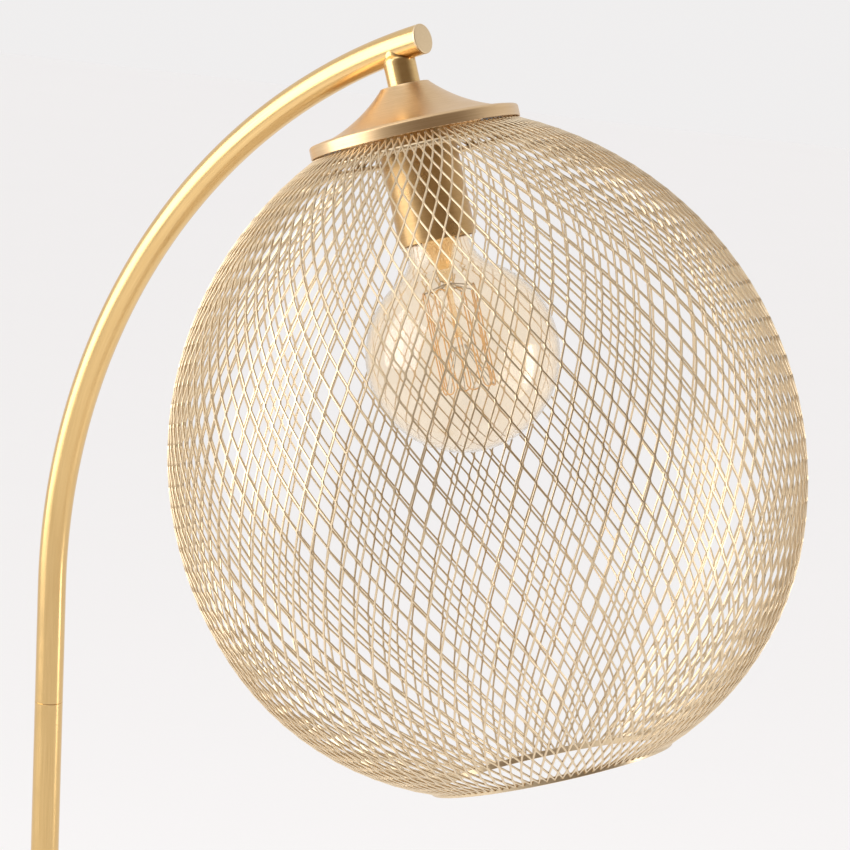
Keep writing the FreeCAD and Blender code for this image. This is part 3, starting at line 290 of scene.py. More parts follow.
# %% Group: coordinates of a spun piece
MARKS_PER_METRE = 5200.0
ANGLE_SHARE = 2.6
LEAST_RADIUS = 1e-5
spun_coordinates, given, out = new_group(
    "spun_coordinates", {"Vector": "vector"}, {"Across": "vector", "Around": "float"}
)
parts = add_node(spun_coordinates, "ShaderNodeSeparateXYZ", {"Vector": given["Vector"]}).outputs
y_squared = maths(spun_coordinates, "POWER", parts["Y"], 2.0)
squares = maths(spun_coordinates, "MULTIPLY_ADD", parts["X"], parts["X"], y_squared)
radius = maths(spun_coordinates, "MAXIMUM", maths(spun_coordinates, "SQRT", squares), LEAST_RADIUS)
cosine = maths(spun_coordinates, "DIVIDE", parts["X"], radius)
sine = maths(spun_coordinates, "DIVIDE", parts["Y"], radius)
across = add_node(
    spun_coordinates,
    "ShaderNodeCombineXYZ",
    {
        "X": maths(spun_coordinates, "MULTIPLY", radius, MARKS_PER_METRE),
        "Y": maths(spun_coordinates, "MULTIPLY", parts["Z"], MARKS_PER_METRE),
        "Z": maths(spun_coordinates, "MULTIPLY", cosine, ANGLE_SHARE),
    },
).outputs[0]
spun_coordinates.links.new(across, out["Across"])
spun_coordinates.links.new(maths(spun_coordinates, "MULTIPLY", sine, ANGLE_SHARE), out["Around"])
print("group:", spun_coordinates.name)

# %% [markdown]
# Satin brass is a metal whose colour comes from its own reflection. Its thin
# clear lacquer gets no layer of its own here and shows only in the roughness.
# The colour is pulled a little towards a deeper tone in
# the marks, the roughness wavers with the broad patches, and a faint bump
# breaks the highlight into fine lines. One builder makes every brass of the
# lamp, because only its tone, its roughness and its grain direction differ.

# %% Satin brass
MARKS_ALONG_TUBE = 30.0


def brass(name, light, deep, roughness, grain, bump=0.12, strength=1.6, place=None):
    """A brushed brass. grain is "spun", about the axis of the place, or "drawn", along a tube."""
    material, tree, surface = new_material(name)
    if grain == "spun":
        local = add_node(tree, "ShaderNodeTexCoord").outputs["Object"]
        if place is not None:
            rotation = place.to_euler()
            local = add_node(
                tree,
                "ShaderNodeMapping",
                {"Vector": local, "Location": place.to_translation(), "Rotation": rotation},
                vector_type="TEXTURE",
            ).outputs[0]
        coordinates = use_group(tree, spun_coordinates, {"Vector": local})
        across, around = coordinates["Across"], coordinates["Around"]
    else:
        local = add_node(tree, "ShaderNodeAttribute", attribute_name="along_tube").outputs["Vector"]
        across = add_node(
            tree, "ShaderNodeMapping", {"Vector": local, "Scale": (MARKS_PER_METRE, MARKS_PER_METRE, MARKS_ALONG_TUBE)}
        ).outputs[0]
        around = 0.0
    marks = use_group(
        tree, brush_marks, {"Across": across, "Around": around, "Place": local, "Strength": strength}
    )
    colour = colour_mix(tree, marks["Tone"], (*deep, 1), (*light, 1))
    spread = add_node(
        tree,
        "ShaderNodeMapRange",
        {
            "Value": marks["Patch"],
            "From Min": 0.3,
            "From Max": 0.7,
            "To Min": roughness * 0.85,
            "To Max": roughness * 1.2,
        },
    ).outputs[0]
    relief = add_node(tree, "ShaderNodeBump", {"Strength": bump, "Distance": 0.02 * mm, "Height": marks["Height"]})
    tree.links.new(colour, surface.inputs["Base Color"])
    tree.links.new(spread, surface.inputs["Roughness"])
    tree.links.new(relief.outputs[0], surface.inputs["Normal"])
    surface.inputs["Metallic"].default_value = 1.0
    return material


GOLD_LIGHT, GOLD_DEEP = (0.84, 0.60, 0.29), (0.60, 0.38, 0.14)
BEIGE_LIGHT, BEIGE_DEEP = (0.82, 0.60, 0.36), (0.58, 0.39, 0.20)
# Painted shade: the holder's two tones are darker than the canopy's, to stand for the shadow that the shade casts on
# it.
SHADED_HOLDER_LIGHT, SHADED_HOLDER_DEEP = (0.66, 0.45, 0.22), (0.44, 0.28, 0.12)
tube_brass = brass("drawn_brass", GOLD_LIGHT, GOLD_DEEP, 0.22, "drawn")
canopy_brass = brass("spun_brass_canopy", BEIGE_LIGHT, BEIGE_DEEP, 0.33, "spun", place=HEAD)
collar_brass = brass("spun_brass_collar", GOLD_LIGHT, GOLD_DEEP, 0.24, "spun", place=HEAD)
painted_shade_holder_brass = brass("spun_brass_holder_painted_shade", SHADED_HOLDER_LIGHT, SHADED_HOLDER_DEEP, 0.3, "spun", place=HEAD)
base_brass = brass("spun_brass_base", GOLD_LIGHT, GOLD_DEEP, 0.28, "spun")
brasses = (tube_brass, canopy_brass, collar_brass, painted_shade_holder_brass, base_brass)
print("brasses:", [metal.name for metal in brasses])

# %% [markdown]
# The mesh of the shade is steel with a champagne metallic paint. Such paint is
# metal flake in a pale binder, so it is a metal with a soft gloss and a fine
# sparkle rather than a grain. A very small noise varies the flake's tone.

# %% Champagne paint
def flake_paint(name, light, deep, roughness):
    """A metallic paint with fine flake."""
    material, tree, surface = new_material(name)
    local = add_node(tree, "ShaderNodeTexCoord").outputs["Object"]
    flake = add_node(
        tree, "ShaderNodeTexNoise", {"Vector": local, "Scale": 1400.0, "Detail": 2.0, "Roughness": 0.6}
    ).outputs["Fac"]
    patch = add_node(tree, "ShaderNodeTexNoise", {"Vector": local, "Scale": 60.0, "Detail": 2.0}).outputs["Fac"]
    mixed = colour_mix(tree, flake, (*deep, 1), (*light, 1))
    spread = add_node(
        tree, "ShaderNodeMapRange", {"Value": patch, "To Min": roughness * 0.85, "To Max": roughness * 1.15}
    ).outputs[0]
    relief = add_node(tree, "ShaderNodeBump", {"Strength": 0.08, "Distance": 0.03 * mm, "Height": flake})
    tree.links.new(mixed, surface.inputs["Base Color"])
    tree.links.new(spread, surface.inputs["Roughness"])
    tree.links.new(relief.outputs[0], surface.inputs["Normal"])
    surface.inputs["Metallic"].default_value = 1.0
    return material


champagne = flake_paint("champagne_paint", (0.77, 0.63, 0.44), (0.60, 0.47, 0.30), 0.31)
end_cap_finish = flake_paint("end_cap_lacquer", (0.80, 0.64, 0.42), (0.66, 0.50, 0.30), 0.42)

# %% [markdown]
# The globe is thin blown glass with a pale amber tint. It is modelled with an
# inner and an outer skin, so light bends as it does in real glass: hardly at
# all through the middle, and strongly at the rim, which draws the outline. A
# ray meets four skins on its way through, so each one is tinted only slightly.

# %% Glass
def clear_glass(name, tint, roughness=0.0):
    """A clear glass; the tint is laid on at every skin that the light passes."""
    material, tree, surface = new_material(name)
    local = add_node(tree, "ShaderNodeTexCoord").outputs["Object"]
    ripple = add_node(tree, "ShaderNodeTexNoise", {"Vector": local, "Scale": 35.0, "Detail": 1.0}).outputs["Fac"]
    relief = add_node(tree, "ShaderNodeBump", {"Strength": 0.03, "Distance": 0.3 * mm, "Height": ripple})
    tree.links.new(relief.outputs[0], surface.inputs["Normal"])
    surface.inputs["Base Color"].default_value = (*tint, 1)
    surface.inputs["Roughness"].default_value = roughness
    surface.inputs["Transmission Weight"].default_value = 1.0
    surface.inputs["IOR"].default_value = 1.46
    return material


amber_glass = clear_glass("amber_glass", (1.0, 0.93, 0.82))
stem_glass = clear_glass("stem_glass", (0.99, 0.82, 0.56), 0.05)

# %% [markdown]
# The remaining finishes belong to pieces that are mostly out of sight: felt,
# cast iron, zinc-plated steel and mouldings. They still show from below or
# when the lamp is taken apart, so each gets a small procedural finish of its
# own: a tone that wavers at the right scale, and a matching bump.

# %% Plain finishes
def speckled(name, light, deep, scale, roughness, metallic=0.0, bump=0.2, depth=0.1):
    """A finish whose tone and relief follow one noise."""
    material, tree, surface = new_material(name)
    local = add_node(tree, "ShaderNodeTexCoord").outputs["Object"]
    noise = add_node(
        tree, "ShaderNodeTexNoise", {"Vector": local, "Scale": scale, "Detail": 5.0, "Roughness": 0.6}
    ).outputs["Fac"]
    mixed = colour_mix(tree, noise, (*deep, 1), (*light, 1))
    relief = add_node(tree, "ShaderNodeBump", {"Strength": bump, "Distance": depth * mm, "Height": noise})
    tree.links.new(mixed, surface.inputs["Base Color"])
    tree.links.new(relief.outputs[0], surface.inputs["Normal"])
    surface.inputs["Roughness"].default_value = roughness
    surface.inputs["Metallic"].default_value = metallic
    return material


felt = speckled("black_felt", (0.035, 0.035, 0.037), (0.012, 0.012, 0.013), 900.0, 0.95, bump=0.8, depth=0.4)
slot_finish = {
    "brushed_brass": base_brass,
    "end_brass": end_cap_finish,
    "champagne_paint": champagne,
    "zinc_steel": speckled("zinc_steel", (0.74, 0.74, 0.75), (0.60, 0.61, 0.63), 700.0, 0.35, 1.0, 0.1),
    "felt": felt,
    "iron": speckled("cast_iron", (0.12, 0.12, 0.125), (0.05, 0.05, 0.052), 260.0, 0.8, 0.3, 0.8, 0.6),
    "black_plastic": speckled("black_moulding", (0.03, 0.03, 0.03), (0.018, 0.018, 0.018), 1200.0, 0.5),
    "lead_sleeve": speckled("pale_sleeve", (0.78, 0.77, 0.73), (0.68, 0.67, 0.63), 500.0, 0.55),
    "brown_sleeve": speckled("brown_sleeve", (0.16, 0.06, 0.02), (0.10, 0.04, 0.015), 500.0, 0.5),
    "blue_sleeve": speckled("blue_sleeve", (0.03, 0.10, 0.40), (0.02, 0.07, 0.30), 500.0, 0.5),
    "white_insulator": speckled("white_insulator", (0.83, 0.82, 0.78), (0.76, 0.75, 0.70), 300.0, 0.45),
    "contact_brass": speckled("contact_brass", (0.85, 0.64, 0.28), (0.72, 0.52, 0.20), 500.0, 0.3, 1.0, 0.1),
    "solder": speckled("solder", (0.70, 0.70, 0.71), (0.55, 0.55, 0.57), 600.0, 0.35, 1.0, 0.3),
    "cap_brass": speckled("cap_brass", (0.85, 0.66, 0.34), (0.74, 0.55, 0.26), 400.0, 0.25, 1.0, 0.1),
    "dark_glass": speckled("dark_glass", (0.02, 0.02, 0.022), (0.01, 0.01, 0.012), 300.0, 0.1),
    "amber_glass": amber_glass,
    "stem_glass": stem_glass,
    "filament": speckled("filament", (0.95, 0.66, 0.36), (0.88, 0.54, 0.24), 900.0, 0.5, 0.6),
    "filament_wire": speckled("filament_wire", (0.62, 0.60, 0.56), (0.50, 0.48, 0.45), 800.0, 0.35, 1.0, 0.1),
}
# The collar and its washer hug the arm, and keep the solid's own saddle cut.
own_finish = {"collar": collar_brass, "saddle_washer": collar_brass}
record_slots = {row["node"]: row["material_slot"] for row in frame["record"]["subparts"]}
for name, node in nodes.items():
    node.data.materials.clear()
    node.data.materials.append(own_finish.get(name, slot_finish[record_slots[name]]))
print("finishes:", len(slot_finish))

# %% [markdown]
# The base is a wide shallow disc of spun sheet over a cast weight. Its edge is
# rolled over in a soft round. The pole stands on it in a small turned foot.
# Both are profiles on the lathe, and both are drawn a little finer than the
# CAD solids, so that the light runs round them without facets.

# %% Base cover and pole foot
BASE_RADIUS, BASE_TOP, BASE_SHEET, BASE_ROUND = 140.0, 22.0, 1.2, 5.0
PAD_TOP = 1.5
BORE = 5.05
cover = profile(
    (BASE_RADIUS - BASE_SHEET, PAD_TOP),
    [
        (BASE_RADIUS, PAD_TOP),
        (BASE_RADIUS, BASE_TOP - BASE_ROUND),
        (BASE_RADIUS - BASE_ROUND, BASE_TOP - BASE_ROUND, -90, 12),
        (BORE, BASE_TOP),
        (BORE, BASE_TOP - BASE_SHEET),
        (BASE_RADIUS - BASE_ROUND, BASE_TOP - BASE_SHEET),
        (BASE_RADIUS - BASE_ROUND, BASE_TOP - BASE_ROUND, 90, 12),
        (BASE_RADIUS - BASE_SHEET, PAD_TOP),
    ],
)
make_piece(lathe(cover, 192), "base_cover_spun", base_brass, "stand", ["base_cover"])

FOOT_RADIUS, FOOT_TOP, FOOT_ROUND, TUBE_RADIUS = 17.0, 31.0, 3.0, 7.5
POLE_SEAT, SEAT_GAP = 28.0, 0.03
foot = profile(
    (BORE, BASE_TOP),
    [
        (FOOT_RADIUS, BASE_TOP),
        (FOOT_RADIUS, FOOT_TOP - FOOT_ROUND),
        (FOOT_RADIUS - FOOT_ROUND, FOOT_TOP - FOOT_ROUND, -90, 10),
        (TUBE_RADIUS + SEAT_GAP, FOOT_TOP),
        (TUBE_RADIUS + SEAT_GAP, POLE_SEAT),
        (BORE, POLE_SEAT),
        (BORE, BASE_TOP),
    ],
)
make_piece(lathe(foot), "pole_foot_turned", base_brass, "stand", ["pole_foot"])

# %% [markdown]
# Pole and arm are one size of tube, cut in three: two straight lengths and the
# bent arm. A circle is extruded up and then spun about the bend's centre. The
# grain of a drawn tube follows it round the bend, so every vertex keeps a
# vector that says where it would be if the tube were straight. The brass reads
# it as an attribute. Small chamfers at the ends draw the seams.

# %% Tubes
TUBE_WALL, TUBE_CHAMFER = 1.0, 0.25
JOINT_Z, SEAM_Z, ARC_Z = 571.0, 1114.0, 1177.0
ARM_RADIUS, ARM_TURN = 329.0, 70.7
TUBE_STEPS = 64


def tube_end(bm, ring, lift, width):
    """Extrudes a ring of edges along Z and changes its radius."""
    made = bmesh.ops.extrude_edge_only(bm, edges=ring)["geom"]
    new = [g for g in made if isinstance(g, bmesh.types.BMVert)]
    radius = math.hypot(new[0].co.x, new[0].co.y)
    scale = (radius + width * mm) / radius
    bmesh.ops.scale(bm, verts=new, vec=(scale, scale, 1))
    bmesh.ops.translate(bm, verts=new, vec=(0, 0, lift * mm))
    return [g for g in made if isinstance(g, bmesh.types.BMEdge)]


def start_tube(low):
    """A bmesh with the chamfered lower end of a tube, and its open outer ring."""
    bm = bmesh.new()
    inner = TUBE_RADIUS - TUBE_WALL
    bmesh.ops.create_circle(
        bm, segments=TUBE_STEPS, radius=inner * mm, matrix=Matrix.Translation(at(0, low))
    )
    ring = tube_end(bm, bm.edges[:], 0, TUBE_WALL - TUBE_CHAMFER)
    return bm, tube_end(bm, ring, TUBE_CHAMFER, TUBE_CHAMFER)


def straight_tube(low, high):
    """A straight tube with chamfered ends and an inner wall."""
    bm, ring = start_tube(low)
    ring = tube_end(bm, ring, high - low - 2 * TUBE_CHAMFER, 0)
    ring = tube_end(bm, ring, TUBE_CHAMFER, -TUBE_CHAMFER)
    ring = tube_end(bm, ring, 0, TUBE_CHAMFER - TUBE_WALL)
    ring = tube_end(bm, ring, low - high, 0)
    bmesh.ops.remove_doubles(bm, verts=bm.verts, dist=0.001 * mm)
    bmesh.ops.recalc_face_normals(bm, faces=bm.faces)
    return bm


def write_grain(piece, bend_from=None):
    """Keeps, for each vertex, where it would lie if the tube were straight."""
    grain = piece.data.attributes.new("along_tube", "FLOAT_VECTOR", "POINT")
    centre = at(ARM_RADIUS, ARC_Z)
    for vertex, entry in zip(piece.data.vertices, grain.data):
        place = vertex.co.copy()
        if bend_from is not None and place.z > bend_from * mm + 1e-6:
            arm = place - centre
            turned = math.atan2(arm.z, -arm.x)
            out_from_centre = math.hypot(arm.x, arm.z)
            place = Vector((ARM_RADIUS * mm - out_from_centre, place.y, centre.z + turned * ARM_RADIUS * mm))
        entry.vector = place


straight_lengths = {"lower_pole": (POLE_SEAT, JOINT_Z), "upper_pole": (JOINT_Z, SEAM_Z)}
for node, (low, high) in straight_lengths.items():
    tube = straight_tube(low, high)
    write_grain(make_piece(tube, node + "_tube", tube_brass, "stand", [node]))

# %% [markdown]
# The arm starts in the same way. Its outer ring is extruded up to the start of
# the bend and spun from there, and its far end is filled, because the closing
# disc hides it. No inner wall is made, since nothing shows of the inside. The
# nipple's hole in its underside is covered by the collar, so it isn't cut here.

# %% Bent arm
arm, ring = start_tube(SEAM_Z)
ring = tube_end(arm, ring, ARC_Z - SEAM_Z - TUBE_CHAMFER, 0)
bend = bmesh.ops.spin(
    arm, geom=ring, cent=at(ARM_RADIUS, ARC_Z), axis=Y_AXIS, angle=math.radians(ARM_TURN), steps=150
)
last_ring = [g for g in bend["geom_last"] if isinstance(g, bmesh.types.BMEdge)]
bmesh.ops.edgeloop_fill(arm, edges=last_ring)
bmesh.ops.recalc_face_normals(arm, faces=arm.faces)
arm_piece = make_piece(arm, "arm_tube_bent", tube_brass, "stand", ["arm_tube"])
write_grain(arm_piece, ARC_Z)

turn = math.radians(ARM_TURN)
arm_end = at(ARM_RADIUS * (1 - math.cos(turn)), ARC_Z + ARM_RADIUS * math.sin(turn))
ARM_END = Matrix.Translation(arm_end) @ Matrix.Rotation(turn, 4, "Y")
CAP_THICKNESS, CAP_ROUND = 1.2, 0.5
PLUG_DEPTH, PLUG_RADIUS = 4.0, TUBE_RADIUS - TUBE_WALL - 0.1
disc = profile(
    (0, -PLUG_DEPTH),
    [
        (PLUG_RADIUS, -PLUG_DEPTH),
        (PLUG_RADIUS, 0),
        (TUBE_RADIUS, 0),
        (TUBE_RADIUS, CAP_THICKNESS - CAP_ROUND),
        (TUBE_RADIUS - CAP_ROUND, CAP_THICKNESS - CAP_ROUND, -90, 5),
        (0, CAP_THICKNESS),
    ],
)
make_piece(lathe(disc, 64), "arm_end_disc", end_cap_finish, "stand", ["arm_end_cap"], ARM_END)

# %% [markdown]
# The canopy is a spun bell. From a small flat top it falls in one hollow curve
# and flattens before the rim, where a fine lip runs round just above a short
# upright band. The band's upper edge is rounded and catches a thin highlight.
# The underside repeats the shape a sheet's thickness below.

# %% Canopy
CANOPY_RADIUS, CANOPY_SHEET, CANOPY_TOP = 52.0, 1.0, 26.5
FLAT_TOP = 12.5
BELL_START, BELL_FOOT, BELL_FOOT_Z = 25.8, 44.0, 6.9
BELL_CURVE = 74.0
BAND_TOP, BAND_ROUND, LIP_RADIUS, LIP_STEP = 6.2, 1.4, 48.5, 0.5


def arc_centre(start, end, curve):
    """Centre of the arc of a bell that sags between two profile points."""
    chord = Vector(end) - Vector(start)
    lift = math.sqrt(curve**2 - (chord.length / 2) ** 2)
    across = Vector((-chord.y, chord.x)).normalized()
    return (Vector(start) + Vector(end)) / 2 + across * lift


def swept(centre, start, end):
    """Degrees from one point to another about a centre, from +Z towards +X."""
    first, second = Vector(start) - centre, Vector(end) - centre
    return math.degrees(first.angle_signed(second))


outer_start, outer_end = (FLAT_TOP, BELL_START), (BELL_FOOT, BELL_FOOT_Z)
inner_start, inner_end = (FLAT_TOP - CANOPY_SHEET, CANOPY_TOP - CANOPY_SHEET), (BELL_FOOT, BELL_FOOT_Z - CANOPY_SHEET)
outer_centre = arc_centre(outer_start, outer_end, BELL_CURVE)
inner_centre = arc_centre(inner_start, inner_end, BELL_CURVE + CANOPY_SHEET)
bell = profile(
    (BORE, CANOPY_TOP),
    [
        (FLAT_TOP - 1.0, CANOPY_TOP),
        (FLAT_TOP - 0.4, CANOPY_TOP - 0.12),
        outer_start,
        (*outer_centre, swept(outer_centre, outer_start, outer_end), 40),
        (LIP_RADIUS - 0.3, BAND_TOP + LIP_STEP),
        (LIP_RADIUS, BAND_TOP + LIP_STEP - 0.25),
        (LIP_RADIUS + 0.15, BAND_TOP),
        (CANOPY_RADIUS - BAND_ROUND, BAND_TOP),
        (CANOPY_RADIUS - BAND_ROUND, BAND_TOP - BAND_ROUND, 90, 10),
        (CANOPY_RADIUS, 0.15),
        (CANOPY_RADIUS - 0.15, 0),
        (CANOPY_RADIUS - CANOPY_SHEET + 0.15, 0),
        (CANOPY_RADIUS - CANOPY_SHEET, 0.15),
        (CANOPY_RADIUS - CANOPY_SHEET, BAND_TOP - BAND_ROUND),
        (CANOPY_RADIUS - BAND_ROUND, BAND_TOP - CANOPY_SHEET),
        inner_end,
        (*inner_centre, swept(inner_centre, inner_end, inner_start), 40),
        (BORE, CANOPY_TOP - CANOPY_SHEET),
        (BORE, CANOPY_TOP),
    ],
)
make_piece(lathe(bell, 160), "canopy_bell", canopy_brass, "head", ["canopy"], HEAD)

# %% [markdown]
# The lampholder's cover is a plain spun cup, open below. Its brass is painted darker than the canopy's: painted shade
# for the shadow that the shade casts on it. A small chamfer breaks the cut edge of its mouth.

# %% Lampholder cover
HOLDER_RADIUS, HOLDER_SHEET, HOLDER_TOP, HOLDER_MOUTH, HOLDER_ROUND = 19.0, 1.0, 16.0, -51.0, 1.5
cup = profile(
    (BORE, HOLDER_TOP),
    [
        (HOLDER_RADIUS - HOLDER_ROUND, HOLDER_TOP),
        (HOLDER_RADIUS - HOLDER_ROUND, HOLDER_TOP - HOLDER_ROUND, 90, 8),
        (HOLDER_RADIUS, HOLDER_MOUTH + 0.3),
        (HOLDER_RADIUS - 0.3, HOLDER_MOUTH),
        (HOLDER_RADIUS - HOLDER_SHEET + 0.2, HOLDER_MOUTH),
        (HOLDER_RADIUS - HOLDER_SHEET, HOLDER_MOUTH + 0.2),
        (HOLDER_RADIUS - HOLDER_SHEET, HOLDER_TOP - HOLDER_SHEET),
        (BORE, HOLDER_TOP - HOLDER_SHEET),
        (BORE, HOLDER_TOP),
    ],
)
make_piece(lathe(cup, 96), "holder_cover_spun", painted_shade_holder_brass, "head", ["holder_cover"], HEAD)

# %% [markdown]
# The bulb is one profile too: a short neck, a hollow fillet and a globe. Neck
# and globe meet the fillet where their tangents agree, which fixes its centre
# by the sum of the radii. The inner skin is the same shape a wall smaller.

# %% Bulb glass
GLOBE_RADIUS, GLOBE_DROP, GLASS_WALL = 47.5, 108.0, 0.9
NECK_RADIUS, NECK_CURVE, NECK_TOP = 15.5, 16.0, -46.5
reach = math.sqrt((GLOBE_RADIUS + NECK_CURVE) ** 2 - (NECK_RADIUS + NECK_CURVE) ** 2)
fillet_centre = (NECK_RADIUS + NECK_CURVE, reach - GLOBE_DROP)
fillet_turn = math.degrees(math.atan2(reach, NECK_RADIUS + NECK_CURVE))
globe_turn = 90 + fillet_turn
neck_start, neck_foot = (NECK_RADIUS - GLASS_WALL, NECK_TOP), reach - GLOBE_DROP
dome = [(*fillet_centre, -fillet_turn, 12), (0, -GLOBE_DROP, globe_turn, 48)]
glass = profile(neck_start, [(NECK_RADIUS, NECK_TOP), (NECK_RADIUS, neck_foot), *dome])
glass_inner = profile(neck_start, [(NECK_RADIUS - GLASS_WALL, neck_foot), *dome])
ON_AXIS = 1e-5
for skin in (glass, glass_inner):
    for vertex in skin.verts:
        if vertex.co.x < ON_AXIS:
            vertex.co.x = 0
inner_mesh = bpy.data.meshes.new("inner_skin")
glass_inner.to_mesh(inner_mesh)
glass_inner.free()
glass.from_mesh(inner_mesh)
bpy.data.meshes.remove(inner_mesh)
make_piece(lathe(glass, 96), "bulb_globe", amber_glass, "bulb", ["bulb_glass"], HEAD)

# %% [markdown]
# Inside the globe stands the glass stem: a hollow flare sealed to the neck, a
# pinched press, and a rod with a bead. Its thin wall lets the light through, as
# in a real bulb. The filament loops and the wires that hold them are the CAD
# model's own pieces, because they are already round wires of the right size.

# %% Bulb stem
STEM_TOP, STEM_LENGTH, ROD_LENGTH = -46.5, 24.0, 26.0
press = STEM_TOP - STEM_LENGTH
stem = profile(
    (0, press + 3.5),
    [
        (2.6, press + 4.5),
        (4.5, STEM_TOP - 13.5),
        (6.8, STEM_TOP - 7.5),
        (10.2, STEM_TOP - 2.7),
        (13.4, STEM_TOP - 1),
        (14.4, STEM_TOP - 1),
        (14.4, STEM_TOP - 2),
        (11.0, STEM_TOP - 3.2),
        (7.6, STEM_TOP - 8.0),
        (5.4, STEM_TOP - 14.0),
        (3.9, press + 3.0),
        (3.4, press),
        (1.7, press - 1.2),
        (1.7, press - ROD_LENGTH),
        (2.5, press - ROD_LENGTH - 0.6),
        (2.6, press - ROD_LENGTH - 1.5),
        (1.9, press - ROD_LENGTH - 2.4),
        (0, press - ROD_LENGTH - 2.6),
    ],
)
make_piece(lathe(stem, 48), "bulb_stem_glass", stem_glass, "bulb", ["bulb_stem"], HEAD)

# %% [markdown]
# Now the shade. It is expanded metal: a sheet is slit and pulled open, so the
# strands have a square section, and where two rows meet they stay joined in a
# short upright bond. Seen from afar it looks like two families of leaning
# wires, and that is also the simplest way to build it. One strand is drawn,
# with a corner at each end of every bond, and is repeated a hundred times
# round the axis; a second family leans the other way. The bonds are a third
# piece that covers the crossings.
#
# The outline of the shade is two arcs: a wide one from the canopy to below
# the belly and a tighter one that pulls in to the mouth.

# %% The shade's outline
BELLY_RADIUS, BELLY_DROP = 154.5, 164.6
UPPER_CURVE, LOWER_CURVE = 181.0, 144.6
LOWER_START = math.radians(22.0)
STRANDS, KNOT_PITCH = 100, 10.0
MOUTH_RADIUS, MOUTH_STRIP, MOUTH_DROP, MOUTH_HEIGHT = 60.0, 1.0, 311.33, 3.0


def on_outline(length):
    """(radius, height, angle below the belly) at a length along the outline from the belly."""
    angle = length / UPPER_CURVE
    centre_r, centre_z, curve = BELLY_RADIUS - UPPER_CURVE, -BELLY_DROP, UPPER_CURVE
    if angle > LOWER_START:
        shift = UPPER_CURVE - LOWER_CURVE
        centre_r += shift * math.cos(LOWER_START)
        centre_z -= shift * math.sin(LOWER_START)
        curve = LOWER_CURVE
        angle = LOWER_START + (length - LOWER_START * UPPER_CURVE) / LOWER_CURVE
    return centre_r + curve * math.cos(angle), centre_z - curve * math.sin(angle), angle


def length_up(radius):
    """Length from the belly up to a radius near the canopy, as a negative number."""
    return -UPPER_CURVE * math.acos((radius - BELLY_RADIUS + UPPER_CURVE) / UPPER_CURVE)


def length_down(radius):
    """Length from the belly down to a radius near the mouth."""
    shift = UPPER_CURVE - LOWER_CURVE
    centre_r = BELLY_RADIUS - UPPER_CURVE + shift * math.cos(LOWER_START)
    return LOWER_START * UPPER_CURVE + (math.acos((radius - centre_r) / LOWER_CURVE) - LOWER_START) * LOWER_CURVE


STRAND_TOP_RADIUS, STRAND_MOUTH_RADIUS = 50.4, MOUTH_RADIUS + 0.1
KNOT_BELOW_TOP, KNOT_ABOVE_MOUTH = 1.5, 0.6
TOP_LENGTH, MOUTH_LENGTH = length_up(STRAND_TOP_RADIUS), length_down(STRAND_MOUTH_RADIUS)
FIRST_KNOT = TOP_LENGTH + KNOT_BELOW_TOP
KNOTS = int((MOUTH_LENGTH - FIRST_KNOT - KNOT_ABOVE_MOUTH) / KNOT_PITCH) + 1
TURN_PER_KNOT = math.pi / STRANDS
print("outline:", round(MOUTH_LENGTH - TOP_LENGTH, 1), "mm,", KNOTS, "rows of knots")

# %% [markdown]
# A strand is a square section with its corners taken off, extruded from corner
# to corner. At each corner the section stands square to the mean of the two
# directions, like a mitre, and keeps one side flat to the shade's skin. The end
# face is extruded and carried to the next corner by one matrix, so no vertex
# has to be worked out by hand.

# %% Drawing one strand
STRAND_WIDTH, STRAND_THICKNESS, STRAND_CORNER = 0.86, 1.0, 0.16
BOND_HALF = 0.55


def skin_point(length, turned, lift=0.0):
    """A point on the shade's skin and the skin's outward direction there."""
    radius, height, angle = on_outline(length)
    outward = Vector((math.cos(turned) * math.cos(angle), math.sin(turned) * math.cos(angle), -math.sin(angle)))
    point = Vector((math.cos(turned) * radius, math.sin(turned) * radius, height))
    return (point + outward * lift) * mm, outward


def strand_corners(lean):
    """Corners of a strand from the canopy to the mouth, as (length, turn)."""
    corners = [(TOP_LENGTH, 0.0)]
    for knot in range(KNOTS):
        length = FIRST_KNOT + knot * KNOT_PITCH
        turned = lean * TURN_PER_KNOT * knot
        corners += [(length - BOND_HALF, turned), (length + BOND_HALF, turned)]
    last_length, last_turn = corners[-1]
    left_over = (MOUTH_LENGTH - last_length) / (KNOT_PITCH - 2 * BOND_HALF)
    corners.append((MOUTH_LENGTH, last_turn + lean * TURN_PER_KNOT * left_over))
    return corners


def place_on_skin(point, outward, along):
    """A matrix for a place on the skin: X across the strand, Y out of the skin, Z along it."""
    across = outward.cross(along).normalized()
    return Matrix.Translation(point) @ Matrix((across, along.cross(across), along)).transposed().to_4x4()


def section_frames(lean, lift=0.0):
    """One place for each corner of a strand."""
    points = [skin_point(length, turned, lift) for length, turned in strand_corners(lean)]
    frames = []
    for i, (point, outward) in enumerate(points):
        before = points[max(i - 1, 0)][0]
        after = points[min(i + 1, len(points) - 1)][0]
        frames.append(place_on_skin(point, outward, (after - before).normalized()))
    return frames


def section_face(bm, width, thickness, corner):
    """A square section with chamfered corners, in the XY plane."""
    made = bmesh.ops.create_grid(bm, x_segments=1, y_segments=1, size=0.5 * mm)
    bmesh.ops.scale(bm, verts=made["verts"], vec=(width, thickness, 1))
    bmesh.ops.bevel(
        bm,
        geom=made["verts"],
        offset=corner * mm,
        offset_type="OFFSET",
        affect="VERTICES",
        segments=1,
        profile=0.5,
        material=-1,
    )
    return bm.faces[:]


def extrude_along(bm, faces, frames):
    """Carries a section from frame to frame and leaves the skin behind it."""
    bmesh.ops.transform(bm, matrix=frames[0], verts=bm.verts)
    face = faces[0]
    for before, after in zip(frames, frames[1:]):
        made = bmesh.ops.extrude_face_region(bm, geom=[face], use_keep_orig=face is faces[0])["geom"]
        new_verts = [g for g in made if isinstance(g, bmesh.types.BMVert)]
        face = next(g for g in made if isinstance(g, bmesh.types.BMFace))
        bmesh.ops.transform(bm, matrix=after @ before.inverted(), verts=new_verts)
    return bm


